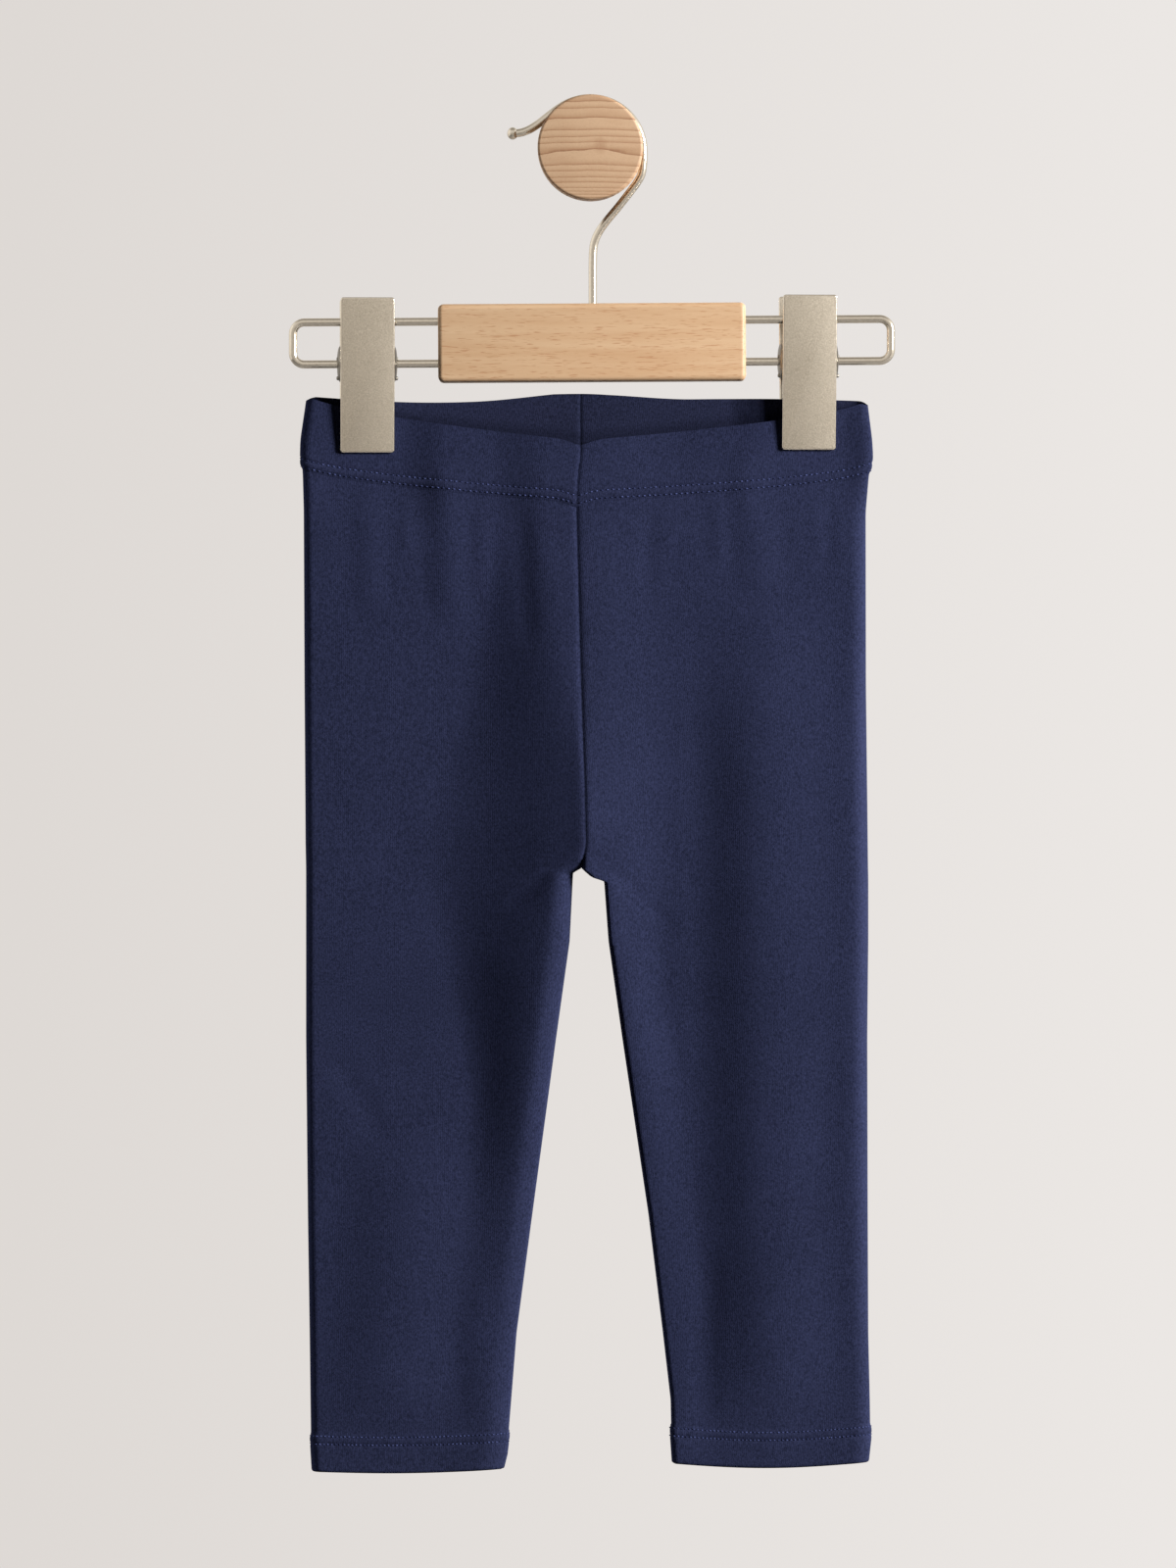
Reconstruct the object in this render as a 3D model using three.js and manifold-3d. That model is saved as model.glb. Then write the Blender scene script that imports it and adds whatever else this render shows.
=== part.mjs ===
// Child's cropped leggings hung flat from a two-clip wire hanger on a round wall peg.
// Millimetres, +Z up, +X to the viewer's right, +Y into the wall.
// The origin is the centre of the peg's back face, which lies on the wall.
import * as THREE from 'three';
import { mergeVertices } from 'three/addons/utils/BufferGeometryUtils.js';
import Module from 'manifold-3d';

const wasm = await Module();
wasm.setup();

// Gap left between pieces that touch on the real thing.
const GAP = 0.3;

// Plane of the hanger, which is also the middle plane of the flat garment.
const PLANE_Y = -24;

// Cloth: one layer of jersey, the folded waistband casing, and the turned-up hem.
const JERSEY = 1.1;
const CASING = 2.6;
const HEM = 2.2;
const CASING_HEIGHT_SIDE = 28;
const CASING_HEIGHT_FRONT = 25.2;
const HEM_HEIGHT = 15.2;
// Half thickness left where the two layers of a leg meet at the inseam.
const INSEAM_HALF_GAP = 0.15;
// How far in from an edge the layers round together.
const SIDE_ROUND = 5.5;
const INSEAM_ROUND = 9;

// Height of the crotch point, and how far above it the U of the crotch seam starts.
const CROTCH_Z = -278.3;
const CROTCH_U = 24;

// Clips: middle of each on the waistband, its turn about the vertical, and its plates.
const CLIP_RIGHT = { x: -86.5, turn: 2.5 };
const CLIP_LEFT = { x: 84.4, turn: 4.5 };
const CLIP_WIDTH = 21;
const CLIP_TOP = -56.4;
const CLIP_BOTTOM = -116.6;
const CLIP_SHEET = 1.2;
const CLIP_CORNER = 0.9;
const CLIP_EDGE = 0.35;
const JAW_INNER = CASING + 0.2 + GAP;
const CLIP_HEAD_INNER = 8.2;
// Half width of cloth that a clip holds flat, how far past that the layers part to the
// sides, and how far below the jaws they part.
const CLIP_FLAT = 12.5;
const CLIP_FADE = 14;
const CLIP_REACH = 35;
// Half the distance between the layers' middles where a clip pinches them.
const PINCH = CASING / 2 + 0.2;

// Hanger: wire, block, hook.
const WIRE = 3.2;
const ROLL = 0.35;
const ARM_TOP_Z = -65.7;
const ARM_BOTTOM_Z = -82.0;
const ARM_REACH = 115.9;
const ARM_CORNER = 4.4;
const ARM_INSERT = 25;
// Distances from the middle at which the straight runs of an arm have a station.
const ARM_STATIONS = [76, 97];
const BLOCK = {
  x: 0.65, z: -74.3, width: 119.2, height: 30.2, depth: 14, corner: 1.2, round: 1.9,
};
// Room round a wire in its bore, and how far the bore goes on past the wire's end.
const BORE_GAP = GAP;
const BORE_PAST = 1;
const HOOK_RADIUS = 20.6;
const SHANK_X = 0.95;
const SHANK_BOTTOM = -74;

// Wall peg: neck, then a wider head.
const PEG_NECK_RADIUS = 18.1;
const PEG_HEAD_RADIUS = 20.35;
const PEG_NECK_LENGTH = 28;
const PEG_LENGTH = 42;
const PEG_ROUND = 0.9;

// The hook's arc is wider than the neck, so all that hangs sits this far below the peg's
// middle, with the hook just clear of the top of the neck.
const HANG_DROP = HOOK_RADIUS - WIRE / 2 - PEG_NECK_RADIUS - GAP;

// Outline of each half, seen from the front: height, outer side edge, and inner edge,
// which is the centre-front seam above the crotch and the inseam below it. The spine is a
// smooth line near the inner edge, from which the cloth's columns are spaced.
const OUTLINE_RIGHT = [
  { z: -95.0, side: -109.2, inner: -3.9, spine: -3.9 },
  { z: -112.0, side: -111.7, inner: -3.9, spine: -3.9 },
  { z: -120.0, side: -111.9, inner: -3.9, spine: -3.9 },
  { z: -124.5, side: -111.5, inner: -4.8, spine: -4.8 },
  { z: -139.0, side: -111.1, inner: -5.4, spine: -5.4 },
  { z: -207.0, side: -110.8, inner: -3.6, spine: -3.6 },
  { z: -250.0, side: -110.5, inner: -2.1, spine: -3.2 },
  { z: -268.0, side: -110.4, inner: -1.7, spine: -4.2 },
  { z: -278.2, side: -110.2, inner: -3.4, spine: -5.2 },
  { z: -279.4, side: -110.2, inner: -6.3, spine: -5.3 },
  { z: -306.0, side: -110.2, inner: -7.6, spine: -8.2 },
  { z: -344.0, side: -110.2, inner: -12.9, spine: -12.9 },
  { z: -412.0, side: -109.5, inner: -22.1, spine: -22.1 },
  { z: -458.0, side: -108.8, inner: -28.2, spine: -28.2 },
  { z: -498.0, side: -108.3, inner: -31.4, spine: -31.4 },
  { z: -505.0, side: -107.9, inner: -32.2, spine: -32.2 },
  { z: -513.0, side: -107.4, inner: -34.2, spine: -34.2 },
];
const OUTLINE_LEFT = [
  { z: -97.0, side: 106.7, inner: -3.9, spine: -3.9 },
  { z: -112.0, side: 108.6, inner: -3.9, spine: -3.9 },
  { z: -119.0, side: 109.0, inner: -3.9, spine: -3.9 },
  { z: -126.0, side: 108.0, inner: -4.8, spine: -4.8 },
  { z: -140.0, side: 106.8, inner: -5.4, spine: -5.4 },
  { z: -207.0, side: 106.9, inner: -3.6, spine: -3.4 },
  { z: -250.0, side: 107.4, inner: -2.1, spine: -0.8 },
  { z: -268.0, side: 107.6, inner: -1.7, spine: 0.8 },
  { z: -278.2, side: 107.7, inner: -3.4, spine: 2.0 },
  { z: -281.4, side: 107.8, inner: 0.2, spine: 2.5 },
  { z: -282.6, side: 107.8, inner: 5.0, spine: 2.7 },
  { z: -306.0, side: 107.8, inner: 6.7, spine: 6.6 },
  { z: -344.0, side: 107.4, inner: 12.1, spine: 12.1 },
  { z: -412.0, side: 107.6, inner: 22.2, spine: 22.2 },
  { z: -458.0, side: 107.8, inner: 27.8, spine: 27.8 },
  { z: -484.0, side: 108.4, inner: 30.8, spine: 30.8 },
  { z: -498.0, side: 108.6, inner: 31.1, spine: 31.1 },
  { z: -511.0, side: 107.2, inner: 32.0, spine: 32.0 },
];
// How far in from the inner edge the cloth follows that edge rather than the spine, and
// how far in the place where the layers meet still draws them.
const EDGE_FOLLOW = 16;
const MEET_WIDTH = 46;

// Depth by height, measured from the hanger plane: the front layer's reach towards the
// viewer at the middle and out on each leg, the back layer's reach towards the wall at the
// middle and out on the legs, and where the two layers meet at the inseam.
const DEPTH = [
  { z: -95, front: 5.4, right: 4.6, left: 4.6, backMid: 3.0, back: 4.4, meet: 0 },
  { z: -113, front: 5.4, right: 4.6, left: 4.6, backMid: 3.2, back: 4.4, meet: 0 },
  { z: -128, front: 5.8, right: 4.7, left: 5.0, backMid: 3.8, back: 4.6, meet: 1 },
  { z: -139, front: 6.8, right: 4.8, left: 5.6, backMid: 4.2, back: 4.8, meet: 2 },
  { z: -169, front: 9.8, right: 4.6, left: 7.8, backMid: 5.0, back: 5.2, meet: 4 },
  { z: -207, front: 13.4, right: 4.6, left: 10.0, backMid: 6.0, back: 5.6, meet: 7 },
  { z: -245, front: 17.4, right: 4.6, left: 12.0, backMid: 6.0, back: 5.6, meet: 9 },
  { z: -265, front: 18.8, right: 4.6, left: 12.6, backMid: 5.0, back: 5.4, meet: 9 },
  { z: -285, front: 18.4, right: 4.6, left: 12.6, backMid: 3.0, back: 5.2, meet: 8.5 },
  { z: -321, front: 15.8, right: 4.8, left: 11.4, backMid: 2.6, back: 5.0, meet: 7 },
  { z: -364, front: 11.6, right: 5.0, left: 8.6, backMid: 3.6, back: 5.0, meet: 4 },
  { z: -412, front: 7.4, right: 5.2, left: 6.4, backMid: 4.6, back: 5.0, meet: 1.4 },
  { z: -460, front: 5.6, right: 4.8, left: 5.0, backMid: 4.8, back: 5.0, meet: 0.3 },
  { z: -515, front: 5.2, right: 4.6, left: 4.6, backMid: 4.8, back: 4.8, meet: 0 },
];
// The middle ridge by height: how far its top stays level on each leg, how far out its foot
// is, and how much it is like a tent, which falls straight away from the seam.
const RIDGE = [
  { z: -95, rightFlat: 10, rightEnd: 44, leftFlat: 6, leftEnd: 44, tent: 0 },
  { z: -139, rightFlat: 8, rightEnd: 34, leftFlat: 4, leftEnd: 40, tent: 0 },
  { z: -169, rightFlat: 8, rightEnd: 36, leftFlat: 4, leftEnd: 38, tent: 0 },
  { z: -207, rightFlat: 4, rightEnd: 45, leftFlat: 2, leftEnd: 36, tent: 0.1 },
  { z: -245, rightFlat: 0, rightEnd: 56, leftFlat: 1, leftEnd: 34, tent: 0.9 },
  { z: -265, rightFlat: 0, rightEnd: 60, leftFlat: 1, leftEnd: 32, tent: 1 },
  { z: -285, rightFlat: 2, rightEnd: 58, leftFlat: 1, leftEnd: 28, tent: 0.7 },
  { z: -321, rightFlat: 5, rightEnd: 46, leftFlat: 2, leftEnd: 21, tent: 0.2 },
  { z: -364, rightFlat: 6, rightEnd: 32, leftFlat: 3, leftEnd: 22, tent: 0 },
  { z: -412, rightFlat: 6, rightEnd: 27, leftFlat: 3, leftEnd: 20, tent: 0 },
  { z: -515, rightFlat: 6, rightEnd: 26, leftFlat: 3, leftEnd: 20, tent: 0 },
];
const TENT_POWER = 3.5;

// The largest soft folds: which leg and layer, the line that each runs along, its half
// width, and how far it stands proud (or is sunk, where the lift is negative).
const FOLDS = [
  { leg: 'left', layer: 'front', top: [67, -200], end: [69, -480], half: 29, lift: 4.6 },
  { leg: 'left', layer: 'front', top: [97, -212], end: [97, -440], half: 31, lift: 2.8 },
  { leg: 'left', layer: 'front', top: [62, -118], end: [66, -170], half: 12, lift: 0.8 },
  { leg: 'right', layer: 'front', top: [-69, -390], end: [-79, -485], half: 30, lift: 2.2 },
  { leg: 'right', layer: 'front', top: [-56, -126], end: [-54, -180], half: 11, lift: 1.0 },
  { leg: 'right', layer: 'back', top: [-52, -150], end: [-44, -330], half: 24, lift: -2.2 },
  { leg: 'right', layer: 'back', top: [-62, -350], end: [-70, -470], half: 18, lift: -1.4 },
  { leg: 'left', layer: 'back', top: [46, -160], end: [62, -380], half: 22, lift: -2.0 },
];

// Rim of the waistband: height at the side, and how far the front and back sag below it.
const RIM = {
  right: { corner: -95.3, sag: 15.9, power: 0.68, backSag: 2.3, backRise: 1.1 },
  left: { corner: -97.0, sag: 14.2, power: 0.62, backSag: -0.8, backRise: 2.8 },
};
const RIM_NOTCH = { depth: 1.6, half: 5 };
// Length of one half of the rim, and the shares of it, from the side, where the back's sag
// ends and where its rise to the middle starts.
const RIM_LENGTH = 108;
const BACK_SAG_END = 0.9;
const BACK_RISE_START = 0.6;
// Bottom edge of the hems: height at the side, and the sag in the middle of each.
const HEM_EDGE = {
  right: { side: -511.8, inner: -510.8, sag: 1.0, backDrop: 0.2 },
  left: { side: -508.2, inner: -508.6, sag: 1.9, backDrop: 0.2 },
};

// Steps of the cloth grids.
const PANEL_STEPS = 10;
const PANEL_ROWS = [
  -150, -165, -181, -198, -215, -231, -244, -254, -261, -266.5, -270.8, -274, -276.4,
  -277.9, -279.4, -281.4, -282.6, -286, -292, -301, -314, -330, -348, -368, -390, -414,
  -438, -462, -482,
];

const clamp = (v, lo, hi) => Math.min(hi, Math.max(lo, v));
const lerp = (a, b, t) => a + (b - a) * t;
const bell = (t) => (Math.abs(t) >= 1 ? 0 : 0.5 + 0.5 * Math.cos(Math.PI * t));
const ease = (t) => {
  const c = clamp(t, 0, 1);
  return c * c * (3 - 2 * c);
};

// Value of one column of a table at height z, with the rows running downwards.
function at(table, column, z) {
  let i = 0;
  while (i < table.length - 2 && z < table[i + 1].z) i += 1;
  const a = table[i];
  const b = table[i + 1];
  const t = clamp((z - a.z) / (b.z - a.z), 0, 1);
  return lerp(a[column], b[column], t);
}

// How strongly a clip pinches the layers together at a place.
function pinchAt(clip, x, z) {
  const across = 1 - ease((Math.abs(x - clip.x) - CLIP_FLAT) / CLIP_FADE);
  const down = 1 - ease((CLIP_BOTTOM - z) / CLIP_REACH);
  return across * down;
}

// Share of the middle ridge's height that is left at a distance from the spine.
function ridgeAt(leg, distance, z) {
  const flat = at(RIDGE, `${leg}Flat`, z);
  const end = at(RIDGE, `${leg}End`, z);
  const f = clamp((distance - flat) / (end - flat), 0, 1);
  const tent = 1 - (f - f ** TENT_POWER / TENT_POWER) / (1 - 1 / TENT_POWER);
  return lerp(1 - ease(f), tent, at(RIDGE, 'tent', z));
}

// Depth of a soft fold at a place; it fades at both ends of its line.
function foldAt(leg, layer, x, z) {
  let sum = 0;
  for (const f of FOLDS) {
    if (f.leg !== leg || f.layer !== layer) continue;
    const t = (f.top[1] - z) / (f.top[1] - f.end[1]);
    const line = lerp(f.top[0], f.end[0], clamp(t, 0, 1));
    const along = ease((t + 0.15) / 0.3) * ease((1.15 - t) / 0.3);
    sum += f.lift * along * bell((x - line) / f.half);
  }
  return sum;
}

// One half of the garment: places on the middle of its cloth.
function halfOf(leg) {
  const right = leg === 'right';
  const sign = right ? -1 : 1;
  const outline = right ? OUTLINE_RIGHT : OUTLINE_LEFT;
  const clip = right ? CLIP_RIGHT : CLIP_LEFT;
  const slope = Math.tan(THREE.MathUtils.degToRad(clip.turn));

  // s runs from 0 at the inner edge to 1 at the outer side; layer is 'front' or 'back'.
  function place(layer, s, z) {
    const side = at(outline, 'side', z) - sign * JERSEY / 2;
    const spine = at(outline, 'spine', z);
    const width = Math.abs(side - spine);
    const fromSpine = s * width;
    const inset = z < CROTCH_Z ? JERSEY / 2 : GAP / 2;
    const follow = at(outline, 'inner', z) + sign * inset - spine;
    const x = lerp(spine, side, s) + follow * bell(fromSpine / EDGE_FOLLOW);
    const ridge = ridgeAt(leg, fromSpine, z);
    let front = lerp(at(DEPTH, leg, z), at(DEPTH, 'front', z), ridge);
    let back = lerp(at(DEPTH, 'back', z), at(DEPTH, 'backMid', z), ridge);
    front += foldAt(leg, 'front', x, z);
    back += foldAt(leg, 'back', x, z);
    const pinch = pinchAt(clip, x, z);
    const lean = slope * (x - clip.x);
    front = lerp(front, PINCH - lean, pinch);
    back = lerp(back, PINCH + lean, pinch);
    const meet = at(DEPTH, 'meet', z) * bell(fromSpine / MEET_WIDTH);
    const open = closure(s, width, z, front + back);
    const reach = layer === 'front' ? meet + (front - meet) * open : meet - (back + meet) * open;
    return new THREE.Vector3(x, PLANE_Y - reach, z);
  }

  // 1 where the layers lie open, falling to 0 where they round together.
  function closure(s, width, z, spread) {
    const fromSide = clamp(((1 - s) * width) / SIDE_ROUND, 0, 1);
    const fromInner = clamp((s * width) / INSEAM_ROUND, 0, 1);
    const drop = clamp((CROTCH_Z + CROTCH_U - z) / CROTCH_U, 0, 1);
    const outer = Math.sqrt(1 - (1 - fromSide) ** 2);
    const inner = Math.sqrt(Math.max(0, 1 - (drop * (1 - fromInner)) ** 2));
    return outer * Math.max(inner, (2 * INSEAM_HALF_GAP) / spread);
  }

  const rim = RIM[leg];
  function rimZ(layer, s) {
    const t = 1 - s;
    if (layer === 'front') {
      const notch = RIM_NOTCH.depth * Math.exp(-(((s * RIM_LENGTH) / RIM_NOTCH.half) ** 2));
      return rim.corner - rim.sag * t ** rim.power - notch;
    }
    const swing = Math.sin(Math.PI * clamp(t / BACK_SAG_END, 0, 1));
    const rise = ease((t - BACK_RISE_START) / (1 - BACK_RISE_START));
    return rim.corner - rim.backSag * swing + rim.backRise * rise;
  }
  const casingZ = (layer, s) => rimZ(layer, s) - lerp(CASING_HEIGHT_FRONT, CASING_HEIGHT_SIDE, s);
  const edge = HEM_EDGE[leg];
  const hemZ = (layer, s) => {
    const drop = layer === 'back' ? edge.backDrop * (1 - s ** 4) : 0;
    return lerp(edge.inner, edge.side, s) - edge.sag * Math.sin(Math.PI * s) - drop;
  };
  return { leg, sign, clip, place, rimZ, casingZ, hemZ, sides: columnsOf(clip, outline) };
}

// Stations from the inner edge to the outer side: close together where the cloth rounds,
// and one at each edge of the clip.
function columnsOf(clip, outline) {
  const side = outline[2].side;
  const inner = outline[2].inner;
  const width = Math.abs(side - inner);
  const roundIn = [0, 0.12, 0.45, 1].map((k) => (k * INSEAM_ROUND) / width);
  const roundOut = [1, 0.45, 0.12, 0].map((k) => 1 - (k * SIDE_ROUND) / width);
  const clipS = Math.abs(clip.x - inner) / width;
  const clipHalf = CLIP_FLAT / width;
  const start = roundIn[3];
  const stop = clipS - clipHalf;
  const open = PANEL_STEPS - 4;
  const even = Array.from({ length: open }, (_, i) => lerp(start, stop, (i + 1) / open));
  return [...roundIn, ...even, clipS, clipS + clipHalf, ...roundOut];
}

// A wall of cloth from a grid of middle places: front stations from the inner edge to the
// side, then back stations from the side to the inner edge. Each place is moved out and in
// along the cloth's normal by half the thickness.
function wallOf(half, rowsZ, thickness, isSeam) {
  const stations = [];
  half.sides.forEach((s) => stations.push({ layer: 'front', s }));
  half.sides.slice(0, -1).reverse().forEach((s) => stations.push({ layer: 'back', s }));
  const rows = rowsZ.length;
  const cols = stations.length;
  const mid = rowsZ.map((zOf) => stations.map((st) => half.place(st.layer, st.s, zOf(st))));

  // Outward normal at each place. Where the edge is the centre seam it stays in that
  // seam's plane, and on the inseam it points across to the other leg.
  const normals = mid.map((row, r) => row.map((p, c) => {
    const up = mid[Math.max(r - 1, 0)][c];
    const down = mid[Math.min(r + 1, rows - 1)][c];
    const before = row[Math.max(c - 1, 0)];
    const after = row[Math.min(c + 1, cols - 1)];
    const along = new THREE.Vector3().subVectors(after, before).normalize();
    const drop = new THREE.Vector3().subVectors(down, up).normalize();
    const out = new THREE.Vector3().crossVectors(along, drop).multiplyScalar(-half.sign);
    if (c === 0 || c === cols - 1) {
      if (isSeam(p.z)) out.x = 0;
      else out.set(-half.sign, 0, 0);
    }
    return out.normalize();
  }));

  const points = [];
  const shift = (level) => mid.forEach((row, r) => row.forEach((p, c) => {
    const q = p.clone().addScaledVector(normals[r][c], level * thickness / 2);
    points.push(q.x, q.y, q.z);
  }));
  shift(1);
  shift(-1);

  const faces = [];
  const index = (level, r, c) => level * rows * cols + r * cols + c;
  const quad = (a, b, c, d) => faces.push(a, b, c, a, c, d);
  for (let r = 0; r < rows - 1; r += 1) {
    for (let c = 0; c < cols - 1; c += 1) {
      quad(index(0, r, c), index(0, r + 1, c), index(0, r + 1, c + 1), index(0, r, c + 1));
      quad(index(1, r, c), index(1, r, c + 1), index(1, r + 1, c + 1), index(1, r + 1, c));
    }
  }
  for (let c = 0; c < cols - 1; c += 1) {
    quad(index(0, 0, c), index(0, 0, c + 1), index(1, 0, c + 1), index(1, 0, c));
    const last = rows - 1;
    quad(index(0, last, c), index(1, last, c), index(1, last, c + 1), index(0, last, c + 1));
  }
  for (let r = 0; r < rows - 1; r += 1) {
    quad(index(0, r, 0), index(1, r, 0), index(1, r + 1, 0), index(0, r + 1, 0));
    const end = cols - 1;
    quad(index(0, r, end), index(0, r + 1, end), index(1, r + 1, end), index(1, r, end));
  }
  return closed(points, faces);
}

// Indexed geometry with its faces turned outwards.
function closed(points, faces) {
  let volume = 0;
  const corner = (i) => new THREE.Vector3(points[3 * i], points[3 * i + 1], points[3 * i + 2]);
  for (let i = 0; i < faces.length; i += 3) {
    const a = corner(faces[i]);
    volume += a.dot(corner(faces[i + 1]).cross(corner(faces[i + 2])));
  }
  const order = volume < 0 ? [0, 2, 1] : [0, 1, 2];
  const turned = [];
  for (let i = 0; i < faces.length; i += 3) order.forEach((k) => turned.push(faces[i + k]));
  const geometry = new THREE.BufferGeometry();
  geometry.setAttribute('position', new THREE.Float32BufferAttribute(points, 3));
  geometry.setIndex(turned);
  return geometry;
}

function legPanel(half) {
  const top = (st) => half.casingZ(st.layer, st.s) - GAP;
  const bottom = (st) => half.hemZ(st.layer, st.s) + HEM_HEIGHT + GAP;
  const settle = PANEL_ROWS[2];
  const rows = [top];
  PANEL_ROWS.forEach((z, i) => {
    rows.push((st) => {
      if (i > 1) return z;
      return lerp(top(st), settle, (i + 1) / 3);
    });
  });
  rows.push(bottom);
  return wallOf(half, rows, JERSEY, (z) => z > CROTCH_Z);
}

function waistband(half) {
  const steps = 4;
  const rows = Array.from({ length: steps + 1 }, (_, i) => (st) => (
    lerp(half.rimZ(st.layer, st.s), half.casingZ(st.layer, st.s), i / steps)
  ));
  return wallOf(half, rows, CASING, () => true);
}

function hem(half) {
  const steps = 3;
  const rows = Array.from({ length: steps + 1 }, (_, i) => (st) => (
    half.hemZ(st.layer, st.s) + HEM_HEIGHT * (1 - i / steps)
  ));
  return wallOf(half, rows, HEM, () => false);
}

// Booleans on closed meshes.
function solid(geometry) {
  const g = geometry.clone();
  g.deleteAttribute('normal');
  g.deleteAttribute('uv');
  const merged = mergeVertices(g, 1e-4);
  return new wasm.Manifold(new wasm.Mesh({
    numProp: 3,
    vertProperties: Float32Array.from(merged.attributes.position.array),
    triVerts: Uint32Array.from(merged.index.array),
  }));
}

function geometryOf(body) {
  const mesh = body.getMesh();
  const g = new THREE.BufferGeometry();
  g.setAttribute('position', new THREE.BufferAttribute(Float32Array.from(mesh.vertProperties), 3));
  g.setIndex(new THREE.BufferAttribute(Uint32Array.from(mesh.triVerts), 1));
  return g;
}

// A path of straight stretches between the given places, stepped place by place.
class BentWire extends THREE.Curve {
  constructor(places) {
    super();
    this.places = places;
  }

  getPoint(t, target = new THREE.Vector3()) {
    const last = this.places.length - 1;
    const i = Math.min(Math.floor(t * last), last - 1);
    return target.lerpVectors(this.places[i], this.places[i + 1], t * last - i);
  }

  getUtoTmapping(u) {
    return u;
  }
}

function wireAlong(places, diameter, sides = 12) {
  const section = new THREE.Shape();
  section.absarc(0, 0, diameter / 2, 0, 2 * Math.PI);
  return new THREE.ExtrudeGeometry(section, {
    steps: places.length - 1,
    curveSegments: sides / 2,
    extrudePath: new BentWire(places),
  });
}

// Height of a hanger line at x, as the hanger hangs a little out of level.
const rolled = (z, x) => z + x * Math.tan(THREE.MathUtils.degToRad(ROLL));
const inPlane = (x, z) => new THREE.Vector3(x, PLANE_Y, z);

// One arm of the hanger: out along the top, round two corners, and back along the bottom.
function armWire(sign) {
  const blockEnd = BLOCK.x + sign * BLOCK.width / 2;
  const start = blockEnd - sign * ARM_INSERT;
  const end = BLOCK.x + sign * ARM_REACH;
  const flat = [[start, ARM_TOP_Z], [blockEnd, ARM_TOP_Z]];
  for (const x of ARM_STATIONS) flat.push([sign * x, ARM_TOP_Z]);
  const corners = [[ARM_TOP_Z - ARM_CORNER, 0], [ARM_BOTTOM_Z + ARM_CORNER, 90]];
  for (const [cz, from] of corners) {
    for (let a = 0; a <= 90; a += 18) {
      const angle = THREE.MathUtils.degToRad(90 - from - a);
      const x = end + sign * ARM_CORNER * (Math.cos(angle) - 1);
      flat.push([x, cz + ARM_CORNER * Math.sin(angle)]);
    }
  }
  for (const x of [...ARM_STATIONS].reverse()) flat.push([sign * x, ARM_BOTTOM_Z]);
  flat.push([blockEnd, ARM_BOTTOM_Z], [start, ARM_BOTTOM_Z]);
  return wireAlong(flat.map(([x, z]) => inPlane(x, rolled(z, x))), WIRE);
}

// Hook: shank up from the block, a bend to the right, round over the peg, and a tail out to
// the left with a ball on its end.
const HOOK_BEND = [
  [SHANK_X, -44], [1.2, -37.8], [2.0, -34.2], [3.7, -30.7], [6.4, -27.0], [11.2, -21.2],
  [15.8, -15.3], [18.1, -12.2], [19.8, -9.0], [20.5, -4.6],
];
const HOOK_TAIL = [
  [-13.7, 15.6], [-17.2, 12.9], [-20.3, 10.5], [-23.3, 8.6], [-26.2, 7.4], [-29.0, 6.9],
];
const HOOK_BALL = { x: -30.1, z: 6.9, radius: 2.1, squash: 1.15 };

function hookGeometry() {
  const places = [[SHANK_X, SHANK_BOTTOM], [SHANK_X, BLOCK.z + BLOCK.height / 2], ...HOOK_BEND];
  for (let a = 0; a <= 120; a += 10) {
    const angle = THREE.MathUtils.degToRad(a);
    places.push([HOOK_RADIUS * Math.cos(angle), HOOK_RADIUS * Math.sin(angle)]);
  }
  places.push(...HOOK_TAIL);
  const wire = solid(wireAlong(places.map(([x, z]) => inPlane(x, z)), WIRE));
  const ball = new THREE.SphereGeometry(HOOK_BALL.radius, 14, 10);
  ball.scale(1, 1, HOOK_BALL.squash);
  ball.translate(HOOK_BALL.x, PLANE_Y, HOOK_BALL.z);
  return geometryOf(wire.add(solid(ball)));
}

// Rounded rectangle standing in the XZ plane, as a shape in its own x and y.
function roundedRect(width, height, radius) {
  const w = width / 2;
  const h = height / 2;
  const s = new THREE.Shape();
  s.moveTo(-w + radius, -h);
  s.lineTo(w - radius, -h);
  s.absarc(w - radius, -h + radius, radius, -Math.PI / 2, 0);
  s.lineTo(w, h - radius);
  s.absarc(w - radius, h - radius, radius, 0, Math.PI / 2);
  s.lineTo(-w + radius, h);
  s.absarc(-w + radius, h - radius, radius, Math.PI / 2, Math.PI);
  s.lineTo(-w, -h + radius);
  s.absarc(-w + radius, -h + radius, radius, Math.PI, 1.5 * Math.PI);
  return s;
}

// A slab with rounded edges, its face towards the viewer, centred on its own origin.
function slab(width, height, depth, radius, edge, edgeSteps = 2) {
  const g = new THREE.ExtrudeGeometry(roundedRect(width - 2 * edge, height - 2 * edge, radius), {
    depth: depth - 2 * edge,
    bevelEnabled: true,
    bevelThickness: edge,
    bevelSize: edge,
    bevelSegments: edgeSteps,
    curveSegments: 3,
  });
  g.translate(0, 0, -(depth - 2 * edge) / 2);
  return g.rotateX(Math.PI / 2);
}

function rod(radius, length, axis) {
  const g = new THREE.CylinderGeometry(radius, radius, length, 20);
  if (axis === 'x') g.rotateZ(Math.PI / 2);
  if (axis === 'z') g.rotateX(Math.PI / 2);
  return g;
}

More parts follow.
